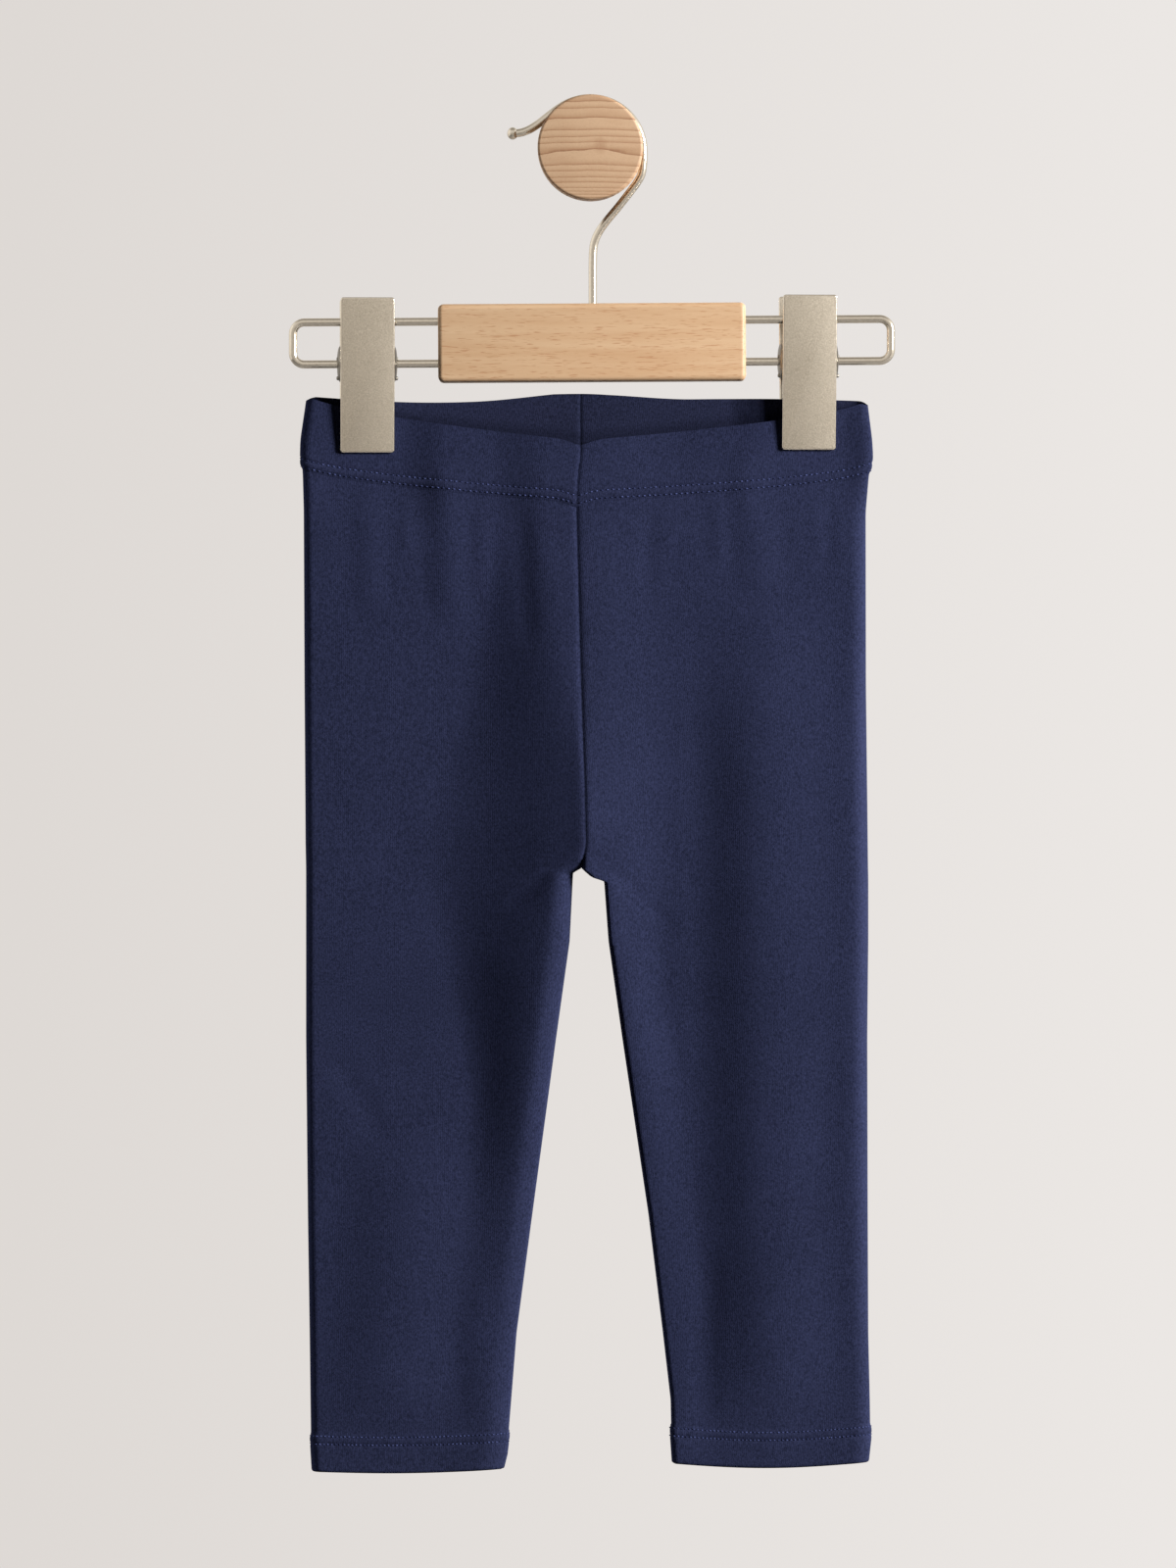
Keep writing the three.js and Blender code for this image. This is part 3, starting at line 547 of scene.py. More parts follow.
RIDGE = table("z right_flat right_end left_flat left_end tent", [
    (-95, 14, 40, 6, 44, 0), (-139, 12, 29, 4, 40, 0), (-169, 8, 36, 4, 38, 0),
    (-207, 4, 45, 2, 36, 0.1), (-245, 0, 56, 1, 34, 0.9), (-265, 0, 60, 1, 32, 1),
    (-285, 2, 58, 1, 28, 0.7), (-321, 5, 46, 2, 21, 0.2), (-364, 6, 32, 3, 22, 0),
    (-412, 6, 27, 3, 20, 0), (-515, 6, 26, 3, 20, 0),
])
TENT_POWER = 3.5
CLIP = {"right": {"x": -86.5, "turn": 2.5}, "left": {"x": 84.4, "turn": 4.5}}
CLIP_BOTTOM, CLIP_FLAT, CLIP_FADE, CLIP_REACH = -116.6, 12.5, 18.0, 35.0
PINCH = CASING / 2 + 0.2
print("tables:", len(OUTLINE["right"]["z"]), "outline rows,", len(DEPTH["z"]), "depth rows")

# %% [markdown]
# ## Folds and creases
# Soft hollows run down both legs where the cloth isn't filled, and short gathers start
# under the elastic. Each is one line of the table: which leg and layer, where its line
# starts and ends, how wide it is, and how proud. The large ones are in the solids too, a
# little shallower at the back, and the creases are made only here.

# %% Tables of the folds
LARGE_FOLDS = [
    ("left", "front", (67, -200), (69, -480), 29, 4.6),
    ("left", "front", (97, -212), (97, -440), 31, 2.8),
    ("left", "front", (62, -118), (66, -170), 12, 0.8),
    ("right", "front", (-69, -390), (-79, -485), 30, 2.2),
    ("right", "front", (-56, -126), (-54, -180), 11, 1.0),
    ("right", "back", (-52, -150), (-44, -330), 24, -3.0),
    ("right", "back", (-62, -350), (-70, -470), 18, -2.1),
    ("left", "back", (46, -160), (62, -380), 22, -2.8),
]
CREASES = [
    ("right", "front", (-86, -131), (-85, -176), 9, 0.6),
    ("right", "front", (-72, -134), (-71, -158), 4, 0.25),
    ("right", "front", (-42, -139), (-43, -170), 6, 0.3),
    ("right", "front", (-27, -142), (-24, -190), 7, -0.45),
    ("left", "front", (24, -140), (22, -168), 6, -0.4),
    ("left", "front", (49, -136), (50, -160), 5, 0.35),
    ("left", "front", (93, -130), (92, -160), 5, -0.4),
    ("right", "front", (-30, -292), (-12, -276), 7, -0.5),
    ("left", "front", (28, -298), (12, -281), 6, -0.4),
    ("right", "front", (-98, -352), (-80, -384), 10, -0.4),
    ("left", "front", (92, -350), (86, -420), 12, -0.4),
    ("right", "front", (-44, -440), (-42, -492), 10, 0.4),
    ("left", "front", (46, -430), (44, -492), 9, -0.4),
    ("right", "back", (-96, -134), (-94, -170), 6, -0.9),
    ("right", "back", (-70, -136), (-72, -162), 5, 0.7),
    ("right", "back", (-30, -138), (-28, -180), 7, -0.9),
    ("left", "back", (30, -138), (27, -176), 6, -0.9),
    ("left", "back", (66, -134), (68, -168), 6, 0.8),
    ("left", "back", (96, -132), (95, -160), 5, -0.7),
    ("right", "back", (-40, -300), (-14, -276), 8, -1.3),
    ("left", "back", (40, -304), (12, -280), 8, -1.2),
    ("left", "back", (86, -400), (70, -452), 11, -1.1),
    ("right", "back", (-92, -380), (-78, -430), 12, -1.0),
]


def bell(t):
    return np.where(np.abs(t) >= 1, 0.0, 0.5 + 0.5 * np.cos(np.pi * np.clip(t, -1, 1)))


def ease(t):
    c = np.clip(t, 0, 1)
    return c * c * (3 - 2 * c)


def lerp(a, b, t):
    return a + (b - a) * t


def at(rows, column, z, blur=0.0):
    """A table's value at height z, softened over the heights within blur of it."""
    steps = [(-1, 0.1), (-0.6, 0.2), (-0.2, 0.2), (0.2, 0.2), (0.6, 0.2), (1, 0.1)]
    if blur == 0:
        steps = [(0, 1)]
    return sum(w * np.interp(-(z + k * blur), -rows["z"], rows[column]) for k, w in steps)


def fold_sum(folds, leg, layer, x, z):
    """How proud the folds make the cloth at x, z."""
    proud = np.zeros_like(z)
    for fold_leg, fold_layer, top, end, half, lift in folds:
        if (fold_leg, fold_layer) != (leg, layer):
            continue
        t = (top[1] - z) / (top[1] - end[1])
        line = lerp(top[0], end[0], np.clip(t, 0, 1))
        proud = proud + lift * ease((t + 0.15) / 0.3) * ease((1.15 - t) / 0.3) * bell(
            (x - line) / half
        )
    return proud


print(len(LARGE_FOLDS), "folds and", len(CREASES), "creases")

# %% [markdown]
# ## Where the cloth lies
# `cloth_middle` gives the middle of the cloth at a place s (0 at the inner edge, 1 at the
# outer side) and a height z. Each part of it is one thing that real cloth does: it rises to
# the ridge of the centre seam, parts into folds, is pinched by the clips, and rounds over
# at the outer side and the inseam.


# %% Middle of the cloth
SOFT, CRISP = 9.0, 2.0
SEAM_LAP = -0.06


def ridge_at(leg, distance, z):
    """Share of the middle ridge's height that is left at a distance from its line."""
    flat, end = at(RIDGE, f"{leg}_flat", z, SOFT), at(RIDGE, f"{leg}_end", z, SOFT)
    f = np.clip((distance - flat) / (end - flat), 0, 1)
    tent = 1 - (f - f ** TENT_POWER / TENT_POWER) / (1 - 1 / TENT_POWER)
    return lerp(1 - ease(f), tent, at(RIDGE, "tent", z, SOFT))


def cloth_middle(leg, layer, s, z):
    sign, outline, clip = SIGN[leg], OUTLINE[leg], CLIP[leg]
    side = at(outline, "side", z, CRISP) - sign * JERSEY / 2
    spine = at(outline, "spine", z, SOFT)
    width = np.abs(side - spine)
    inset = np.where(z < CROTCH_Z, JERSEY / 2, SEAM_LAP)
    follow = at(outline, "inner", z, 0.6) + sign * inset - spine
    x = lerp(spine, side, s) + follow * bell(s * width / EDGE_FOLLOW)

    ridge = ridge_at(leg, s * width, z)
    front = lerp(at(DEPTH, leg, z, SOFT), at(DEPTH, "front", z, SOFT), ridge)
    back = lerp(at(DEPTH, "back", z, SOFT), at(DEPTH, "back_mid", z, SOFT), ridge)
    folds = LARGE_FOLDS + CREASES
    front = front + fold_sum(folds, leg, "front", x, z)
    back = back + fold_sum(folds, leg, "back", x, z)

    pinch = (1 - ease((np.abs(x - clip["x"]) - CLIP_FLAT) / CLIP_FADE)) * (
        1 - ease((CLIP_BOTTOM - z) / CLIP_REACH)
    )
    lean = math.tan(math.radians(clip["turn"])) * (x - clip["x"])
    front = lerp(front, PINCH - lean, pinch)
    back = lerp(back, PINCH + lean, pinch)

    meet = at(DEPTH, "meet", z, SOFT) * bell(s * width / MEET_WIDTH)
    from_side = np.clip((1 - s) * width / SIDE_ROUND[leg], 0, 1)
    from_inner = np.clip(s * width / INSEAM_ROUND[leg], 0, 1)
    drop = np.clip((CROTCH_Z + CROTCH_U - z) / CROTCH_U, 0, 1)
    outer = np.sqrt(1 - (1 - from_side) ** 2)
    inner = np.sqrt(np.maximum(0, 1 - (drop * (1 - from_inner)) ** 2))
    open_ = outer * np.maximum(inner, 2 * INSEAM_HALF_GAP / (front + back))
    reach = meet + (front - meet) * open_ if layer == "front" else meet - (back + meet) * open_
    return np.stack([x, PLANE_Y - reach, z], -1)


print("crotch, wearer's left:", cloth_middle("left", "front", np.zeros(1), np.full(1, -279.0))[0])

# %% Edges of the cloth
RIM = {
    "right": {"corner": -93.8, "sag": 17.4, "power": 0.68, "back_sag": 2.3, "back_rise": 1.1},
    "left": {"corner": -95.5, "sag": 15.7, "power": 0.62, "back_sag": -0.8, "back_rise": 2.8},
}
RIM_HALF, NOTCH_DEPTH, NOTCH_HALF = 108, 1.6, 5
CORNER_DROP, CORNER_START, CORNER_SHARE = 1.8, 0.972, 0.028
CASING_HEIGHT = {"seam": 25.2, "side": 29.5}
HEM_EDGE = {
    "right": {"side": -511.8, "inner": -510.8, "sag": 1.0},
    "left": {"side": -508.2, "inner": -508.6, "sag": 1.9},
}


def corner_drop(s):
    """How far the rim is rounded down where it turns the outer side."""
    return CORNER_DROP * np.clip((s - CORNER_START) / CORNER_SHARE, 0, 1) ** 3


def rim_z(leg, layer, s):
    """Height of the waistband's rim."""
    rim, t, corner = RIM[leg], 1 - s, corner_drop(s)
    if layer == "front":
        notch = NOTCH_DEPTH * np.exp(-((s * RIM_HALF / NOTCH_HALF) ** 2))
        return rim["corner"] - rim["sag"] * t ** rim["power"] - notch - corner
    swing = np.sin(np.pi * np.clip(t / 0.9, 0, 1))
    rise = rim["back_rise"] * ease((t - 0.6) / 0.4)
    return rim["corner"] - rim["back_sag"] * swing + rise - corner


def casing_z(leg, layer, s):
    """Height of the waistband's lower edge."""
    height = lerp(CASING_HEIGHT["seam"], CASING_HEIGHT["side"], s)
    return rim_z(leg, layer, s) + corner_drop(s) - height


def hem_z(leg, layer, s):
    """Height of the hem's folded edge."""
    edge = HEM_EDGE[leg]
    drop = 0.2 * (1 - s ** 4) if layer == "back" else 0
    return lerp(edge["inner"], edge["side"], s) - edge["sag"] * np.sin(np.pi * s) - drop


print("front rim at the side:", [rim_z(leg, "front", 1) for leg in SIGN])

# %% [markdown]
# ## Stations round a leg
# The cloth is sampled along a line that goes round the leg: out along the front, round the
# side and back. The stations are close together at the seams and round the side, where it
# bends most, and about 1.6 mm apart between.

# %% Stations
SEAM_STEPS = [0, 0.25, 0.6, 1.0, 1.5, 2.1, 2.8, 3.7, 4.8, 6.0, 7.4]
SIDE_STEPS = 11
OPEN_START, OPEN_STEP = 9, 1.6
HALF_WIDTH = 107.0
SEAM_FLAT = 2.0


def stations():
    """Lists of (layer, s) round a leg, for a nominal width of the half."""
    inner = np.array(SEAM_STEPS) / HALF_WIDTH
    turn = np.linspace(0, np.pi / 2, SIDE_STEPS)
    outer = 1 - (1 - np.cos(turn))[::-1] * max(SIDE_ROUND.values()) / HALF_WIDTH
    start = OPEN_START / HALF_WIDTH
    count = round((outer[0] - start) * HALF_WIDTH / OPEN_STEP)
    middle = np.linspace(start, outer[0], count, endpoint=False)
    s = np.concatenate([inner, middle, outer])
    return [("front", v) for v in s] + [("back", v) for v in s[-2::-1]]


STATIONS = stations()
COLUMN_S = np.array([s for _, s in STATIONS])
FRONT = np.array([layer == "front" for layer, _ in STATIONS])


def per_column(function, leg):
    """A height that depends on layer and s, at every station."""
    return np.where(FRONT, function(leg, "front", COLUMN_S), function(leg, "back", COLUMN_S))


def middle_grid(leg, z):
    """Middle of the cloth for a grid of heights, rows by stations."""
    s = np.broadcast_to(COLUMN_S, z.shape)
    front = cloth_middle(leg, "front", s, z)
    back = cloth_middle(leg, "back", s, z)
    return np.where(FRONT[None, :, None], front, back)


def outward(leg, grid):
    """Unit vectors out of the cloth and down along it, at every place of a grid."""
    along = np.gradient(grid, axis=1)
    down = np.gradient(grid, axis=0)
    out = np.cross(along, down) * -SIGN[leg]
    near_seam = np.exp(-((COLUMN_S * HALF_WIDTH / SEAM_FLAT) ** 2))[None, :]
    flat = near_seam * (grid[..., 2] > CROTCH_Z)
    out[..., 0] *= 1 - flat
    out /= np.linalg.norm(out, axis=-1, keepdims=True)
    down /= np.linalg.norm(down, axis=-1, keepdims=True)
    return out, down


def seam_draw(depth, reach):
    """1 away from the seams, and less where the stitches draw the cloth in."""
    return 1 - depth * np.exp(-((COLUMN_S * HALF_WIDTH / reach) ** 2))


print(len(STATIONS), "stations round each leg")


# %% Closed skins
def close_skins(name, outer, inner, turned=None):
    """One closed thin shell between two grids of points, with its map of the cloth.

    From the row called turned on, the outer skin is the cloth's inside.
    """
    rows, cols = outer.shape[:2]
    points = np.concatenate([outer.reshape(-1, 3), inner.reshape(-1, 3)])
    index = np.arange(rows * cols).reshape(rows, cols)
    a, b = index[:-1, :-1].ravel(), index[1:, :-1].ravel()
    c, d = index[1:, 1:].ravel(), index[:-1, 1:].ravel()
    shift = rows * cols
    skins = [np.stack([a, b, c, d], 1), np.stack([a, d, c, b], 1) + shift]
    for line, back in ((index[0], True), (index[-1], False), (index[:, 0], False),
                       (index[:, -1], True)):
        p, q = (line[1:], line[:-1]) if back else (line[:-1], line[1:])
        skins.append(np.stack([p, p + shift, q + shift, q], 1))
    faces = np.concatenate(skins)
    tri = points[faces[:, :3]]
    volume = np.einsum("ij,ij->i", tri[:, 0], np.cross(tri[:, 1], tri[:, 2])).sum()
    if volume < 0:
        faces = faces[:, ::-1]
    obj = mesh_piece(name, hung(points), faces.tolist(), JERSEY_CLOTH)
    obj.data.materials.append(JERSEY_INSIDE_SHADED)
    count = (rows - 1) * (cols - 1)
    inside = np.zeros(len(faces), np.int32)
    inside[count : 2 * count] = 1
    if turned is not None:
        inside[turned * (cols - 1) : count] = 1
    obj.data.polygons.foreach_set("material_index", inside)
    cloth_map(obj, (outer + inner) / 2)
    return obj


def cloth_map(obj, middle):
    """The map of a shell: distances across and along the cloth, measured at its middle."""
    rows, cols = middle.shape[:2]
    step = np.linalg.norm(np.diff(middle, axis=1), axis=-1)
    across = np.concatenate([np.zeros((rows, 1)), np.cumsum(step, 1)], 1)
    fold = int(np.argmax(COLUMN_S))
    across -= across[:, fold : fold + 1]
    drop = np.linalg.norm(np.diff(middle, axis=0), axis=-1)
    along = np.concatenate([np.zeros((1, cols)), np.cumsum(drop, 0)], 0)
    flat = np.stack([across, along], -1).reshape(-1, 2) * MM
    flat = np.concatenate([flat, flat])
    layer = obj.data.uv_layers.new(name="cloth")
    corners = np.zeros(len(obj.data.loops), np.int64)
    obj.data.loops.foreach_get("vertex_index", corners)
    layer.data.foreach_set("uv", flat[corners].ravel())


print("shells ready")

# %% [markdown]
# ## Legs
# A leg panel is one layer of jersey. It could be a solid block, but then the open hems
# would look filled, so it is a shell: an outer and an inner skin either side of the middle,
# closed at the edges. Close to a seam the skins draw together, which leaves the fine groove
# that the stitches make.

# %% Leg panels
LEG_ROW, LEG_TOP, LEG_END, LEG_EDGE = 2.0, -160.0, -484.0, 0.1
CROTCH_ABOVE, CROTCH_BELOW = -276, -283.5
CROTCH_ROWS = [-276.6, -277.5, -278.1, -278.9, -279.7, -280.6, -281.3, -282.1, -282.9]
UPPER_ROWS, LOWER_ROWS = 18, 8
LEG_DRAW, LEG_DIP = (0.62, 0.7), (0.34, 1.5)


def leg_panel(leg):
    """Outer and inner skins of a leg, in rows that are closest together at the crotch."""
    top = per_column(casing_z, leg) + LEG_EDGE
    bottom = per_column(hem_z, leg) + HEM_HEIGHT - LEG_EDGE
    level = np.arange(LEG_TOP, LEG_END, -LEG_ROW)
    level = level[(level > CROTCH_ABOVE) | (level < CROTCH_BELOW)]
    level = np.sort(np.concatenate([level, CROTCH_ROWS]))[::-1]
    upper = [lerp(top, level[0], t) for t in np.linspace(0, 1, UPPER_ROWS)[:-1]]
    lower = [lerp(level[-1], bottom, t) for t in np.linspace(0, 1, LOWER_ROWS)[1:]]
    z = np.stack(upper + [np.full_like(top, v) for v in level] + lower)
    middle = middle_grid(leg, z)
    out, _ = outward(leg, middle)
    dip = (1 - seam_draw(*LEG_DIP))[None, :, None] * (middle[..., 2:] > CROTCH_Z)
    middle = middle - out * dip
    half = seam_draw(*LEG_DRAW)[None, :, None] * JERSEY / 2
    return middle + out * half, middle - out * half


for leg in SIGN:
    outer, inner = leg_panel(leg)
    piece = close_skins(f"leg_{leg}_jersey", outer, inner)
    settle(piece, "jersey", f"leg_{leg}")
    print(piece.name, len(piece.data.polygons), "faces")

# %% [markdown]
# ## Waistband and hems
# Both are the same thing: a strip of the jersey turned over on itself and stitched down
# with a twin needle. In section each is a hairpin, so the skin goes up the outside, round
# the fold and down the inside, and a second skin follows it inside the fold. The rows of
# stitches pull the outer layer in a little.

# %% Folded strips
CLOTH = 0.9
STITCH_ROWS = (1.25, 4.3)
NEAR_EDGE = [0, 0.4, 0.8, 1.25, 1.7, 2.2, 2.8, 3.3, 3.8, 4.3, 4.8, 5.3, 6.2]
FOLD_STEPS, STRIP_STEPS = 9, 12
EDGE_RISE = 1.5
STITCH_DIP, STITCH_DIP_HALF = 0.34, 0.5
BAND_DRAW = (0.3, 0.7)


def outside_offset(edge, full):
    """How far the outer skin stands off the middle, at a distance from the free edge."""
    lift = lerp(JERSEY / 2, full, ease(edge / EDGE_RISE * 0.8 + 0.1))
    for row in STITCH_ROWS:
        lift = lift - STITCH_DIP * np.exp(-(((edge - row) / STITCH_DIP_HALF) ** 2))
    return lift


def folded_strip(leg, free, fold, total):
    """Skins of a strip whose free edge and fold are at the given heights."""
    radius = total / 2
    way = np.sign(fold[0] - free[0])
    height = np.abs(fold - free) - radius
    edges = [np.full_like(height, e) for e in NEAR_EDGE]
    edges += [lerp(NEAR_EDGE[-1], height, t) for t in np.linspace(0, 1, STRIP_STEPS)[1:]]
    edge = np.stack(edges)
    centre = middle_grid(leg, free + way * edge)
    out, down = outward(leg, centre)
    if way > 0:
        out, down = -out, -down
    draw = seam_draw(*BAND_DRAW)[None, :, None]

    def skin(outside, inside):
        turn = np.linspace(0, np.pi, FOLD_STEPS)[1:-1, None, None]
        first = centre + out * outside * draw
        toward = down[-1:]
        bend = centre[-1:] + inside * draw * (out[-1:] * np.cos(turn) + toward * np.sin(turn))
        last = (centre - out * inside * draw)[::-1]
        return np.concatenate([first, bend, last])

    outside = outside_offset(edge, radius)[..., None]
    outside[-1] = radius
    hollow = radius - CLOTH
    return skin(outside, radius), skin(np.full_like(outside, hollow), hollow)


STRIPS = {}
for leg in SIGN:
    rim, casing = per_column(rim_z, leg), per_column(casing_z, leg)
    hem = per_column(hem_z, leg)
    for part, free, fold, total in (
        ("waistband", casing, rim, CASING), ("hem", hem + HEM_HEIGHT, hem, HEM),
    ):
        outer, inner = folded_strip(leg, free, fold, total)
        turned = len(NEAR_EDGE) + STRIP_STEPS - 1 + FOLD_STEPS // 2
        piece = close_skins(f"{part}_{leg}_fold", outer, inner, turned)
        STRIPS[part, leg] = settle(piece, "jersey", f"{part}_{leg}")
        print(piece.name, len(piece.data.polygons), "faces")

# %% [markdown]
# ## Twin-needle stitches
# Two level rows of short stitches hold each fold down. From outside, each stitch is a small
# raised grain of thread that dives into the cloth at both ends. They are real little tubes,
# because bump alone would leave the rows flat in a close view.


# %% Stitches
STITCH_PITCH = {"waistband": 2.1, "hem": 1.57}
STITCH_SEED = {"right": 3, "left": 7}
STITCH_PLACES = np.array([0.25, 0.34, 0.5, 0.66, 0.75])
STITCH_RISE = np.array([-0.24, 0.03, 0.16, 0.03, -0.24])
STITCH_FORM = np.array([0.6, 1, 1.1, 1, 0.6])
THREAD_RADIUS, THREAD_SIDES, THREAD_PROUD = 0.24, 6, 0.05
ROW_START, ROW_END = 0.5, 0.4


def to_own_side(out):
    """The directions of a row, each turned to its own layer's side of the hanger."""
    side = np.where(FRONT, -1.0, 1.0)[:, None]
    flip = np.sign(np.sum(out * np.array([0, 1, 0]) * side, -1, keepdims=True))
    return out * np.where(flip == 0, 1, flip)


def along_row(length, places, values):
    """Points or directions of a row, at the given distances along it."""
    return np.stack([np.interp(places, length, values[:, k]) for k in range(3)], 1)


def stitch_rows(leg, part):
    """Both rows of stitches of one strip, as closed grains of thread."""
    rng = random.Random(STITCH_SEED[leg])
    pile = Pile()
    if part == "waistband":
        total, free, way = CASING, per_column(casing_z, leg), 1
    else:
        total, free, way = HEM, per_column(hem_z, leg) + HEM_HEIGHT, -1
    for row in STITCH_ROWS:
        z = np.stack([free + way * (row + k) for k in (0.5, 0.0, -0.5)])
        middle = middle_grid(leg, z)
        out = to_own_side(outward(leg, middle)[0][1] * way)
        proud = outside_offset(np.full(1, row), total / 2)[0] + THREAD_PROUD
        line = middle[1] + out * proud
        length = np.concatenate([[0], np.cumsum(np.linalg.norm(np.diff(line, axis=0), axis=1))])
        start = ROW_START
        while start + STITCH_PITCH[part] < length[-1] - ROW_END:
            pitch = STITCH_PITCH[part] * rng.uniform(0.93, 1.07)
            places = start + pitch * STITCH_PLACES
            path = along_row(length, places, line)
            path = path + along_row(length, places, out) * STITCH_RISE[:, None]
            path[:, 2] += rng.uniform(-0.05, 0.05)
            pile.tube(path, THREAD_RADIUS * STITCH_FORM, THREAD_SIDES)
            start += pitch
    return pile


for part, leg in STRIPS:
    pile = stitch_rows(leg, part)
    piece = pile.piece(f"stitching_{part}_{leg}", THREAD, 70)
    settle(piece, "jersey")
    count = len(pile.points) // (len(STITCH_PLACES) * THREAD_SIDES)
    print(piece.name, count, "stitches")

# %% [markdown]
# ## Hanger wires and hook
# The arms and the hook are round nickel wire, so each is a tube that follows its bends. The
# hanger hangs a third of a degree out of level, as in the picture.

# %% Wires
WIRE_RADIUS = 1.6
ROLL = math.radians(0.35)
ARM_TOP, ARM_BOTTOM, ARM_REACH, ARM_CORNER = -65.7, -82.0, 115.9, 4.4
BLOCK_X, BLOCK_Z, BLOCK_SIZE = 0.65, -74.3, (119.2, 14.0, 30.2)


def rolled(x, z):
    return z + x * math.tan(ROLL)


for leg, sign in SIGN.items():
    start = BLOCK_X + sign * (BLOCK_SIZE[0] / 2 - 25)
    end = BLOCK_X + sign * ARM_REACH
    flat = [(x, ARM_TOP) for x in np.linspace(start, end - sign * ARM_CORNER, 12)[:-1]]
    for cz, first in ((ARM_TOP - ARM_CORNER, 90), (ARM_BOTTOM + ARM_CORNER, 0)):
        for a in np.linspace(first, first - 90, 10):
            r = math.radians(a)
            flat.append((
                end + sign * ARM_CORNER * (math.cos(r) - 1), cz + ARM_CORNER * math.sin(r)
            ))
    flat += [(x, ARM_BOTTOM) for x in np.linspace(end - sign * ARM_CORNER, start, 12)[1:]]
    pile = Pile()
    pile.tube([(x, PLANE_Y, rolled(x, z)) for x, z in flat], WIRE_RADIUS, 28)
    settle(pile.piece(f"hanger_arm_{leg}", POLISHED_NICKEL), "nickel_wire", f"wire_{leg}")

HOOK_X = 0.95
HOOK_BEND = [
    (HOOK_X, -74), (HOOK_X, -59), (HOOK_X, -50), (HOOK_X, -44), (1.2, -37.8), (2.0, -34.2),
    (3.7, -30.7), (6.4, -27.0), (11.2, -21.2), (15.8, -15.3), (18.1, -12.2), (19.8, -9.0),
    (20.5, -4.6),
]
HOOK_TAIL = [
    (-13.7, 15.6), (-17.2, 12.9), (-20.3, 10.5), (-23.3, 8.6), (-26.2, 7.4), (-29.0, 6.9),
]
HOOK_RADIUS, BALL_RADIUS, BALL_STRETCH = 20.6, 2.1, 1.15
arc = [
    (HOOK_RADIUS * math.cos(math.radians(a)), HOOK_RADIUS * math.sin(math.radians(a)))
    for a in range(0, 121, 10)
]
path = smooth_path([(x, PLANE_Y, z) for x, z in HOOK_BEND + arc + HOOK_TAIL])
hook = Pile()
hook.tube(path, WIRE_RADIUS, 28)
ball = [
    (max(BALL_RADIUS * math.sin(t), NEAR_AXIS), -BALL_RADIUS * BALL_STRETCH * math.cos(t))
    for t in np.linspace(0, math.pi, 17)
]
hook.lathe(ball, (-30.1, PLANE_Y, 6.9), (0, 0, 1), 28)
settle(hook.piece("hanger_hook", POLISHED_NICKEL), "nickel_wire", "hook")
print("hook path", len(path), "points")

# %% [markdown]
# ## Block and peg
# The block is a bar of beech with rounded edges, bored for the wires. A bevelled box gives
# the edges, and Boolean cuts give the bores. The peg is turned, so it is a profile spun
# about its axis: a neck and a wider head with a small rounding at both edges.


# %% Block
def rounded_bar(name, size, corner, edge, steps, material):
    """A box with round corners in its face and a rounded edge all round, in millimetres."""
    bm = bmesh.new()
    bmesh.ops.create_cube(bm, size=1.0)
    bmesh.ops.scale(bm, vec=Vector(size), verts=bm.verts)
    upright = [
        e for e in bm.edges if abs((e.verts[0].co - e.verts[1].co).normalized().y) > 0.9
    ]
    bmesh.ops.bevel(
        bm, geom=upright, offset=corner, segments=steps, profile=0.5, affect="EDGES"
    )
    rim = [e for e in bm.edges if e.is_manifold and e.calc_face_angle() > math.radians(60)]
    bmesh.ops.bevel(bm, geom=rim, offset=edge, segments=steps, profile=0.5, affect="EDGES")
    mesh = bpy.data.meshes.new(name)
    bm.to_mesh(mesh)
    bm.free()
    mesh.polygons.foreach_set("use_smooth", [True] * len(mesh.polygons))
    mesh.set_sharp_from_angle(angle=math.radians(40))
    mesh.materials.append(material)
    obj = bpy.data.objects.new(name, mesh)
    bpy.context.scene.collection.objects.link(obj)
    return obj


def put(obj, matrix):
    """Moves a mesh made in millimetres to its place on the hanger, in metres."""
    obj.data.transform(matrix)
    obj.data.transform(Matrix.Scale(MM, 4) @ Matrix.Translation((0, 0, -HANG_DROP)))
    return obj


def cut_bores(obj, bores):
    """Cuts round bores, each a path and a radius, out of a piece."""
    cutter_pile = Pile()
    for path, radius in bores:
        cutter_pile.tube(path, radius, 32)
    cutter = cutter_pile.piece("bores", obj.data.materials[0])
    cut = obj.modifiers.new("bores", "BOOLEAN")
    cut.object = cutter
    cut.solver = "EXACT"
    cut.use_self = True
    bpy.context.view_layer.update()
    shaped = bpy.data.meshes.new_from_object(
        obj.evaluated_get(bpy.context.evaluated_depsgraph_get())
    )
    obj.modifiers.clear()
    obj.data = shaped
    shaped.set_sharp_from_angle(angle=math.radians(40))
    bpy.data.objects.remove(cutter)


BLOCK_CORNER, BLOCK_EDGE, BORE_PLAY = 2.2, 1.8, 0.25
block = rounded_bar("hanger_block", BLOCK_SIZE, BLOCK_CORNER, BLOCK_EDGE, 6, BEECH_SIDE)
put(block, Matrix.Translation((BLOCK_X, PLANE_Y, rolled(BLOCK_X, BLOCK_Z)))
    @ Matrix.Rotation(-ROLL, 4, "Y"))
bores = []
for sign in (-1, 1):
    xs = [BLOCK_X + sign * (BLOCK_SIZE[0] / 2 + past) for past in (3, -26)]
    for z in (ARM_TOP, ARM_BOTTOM):
        bores.append(([(x, PLANE_Y, rolled(x, z)) for x in xs], WIRE_RADIUS + BORE_PLAY))
bores.append(([(HOOK_X, PLANE_Y, z) for z in (-50, BLOCK_Z)], WIRE_RADIUS + BORE_PLAY))
cut_bores(block, bores)
settle(block, "beech", "block")
print(block.name, len(block.data.polygons), "faces")

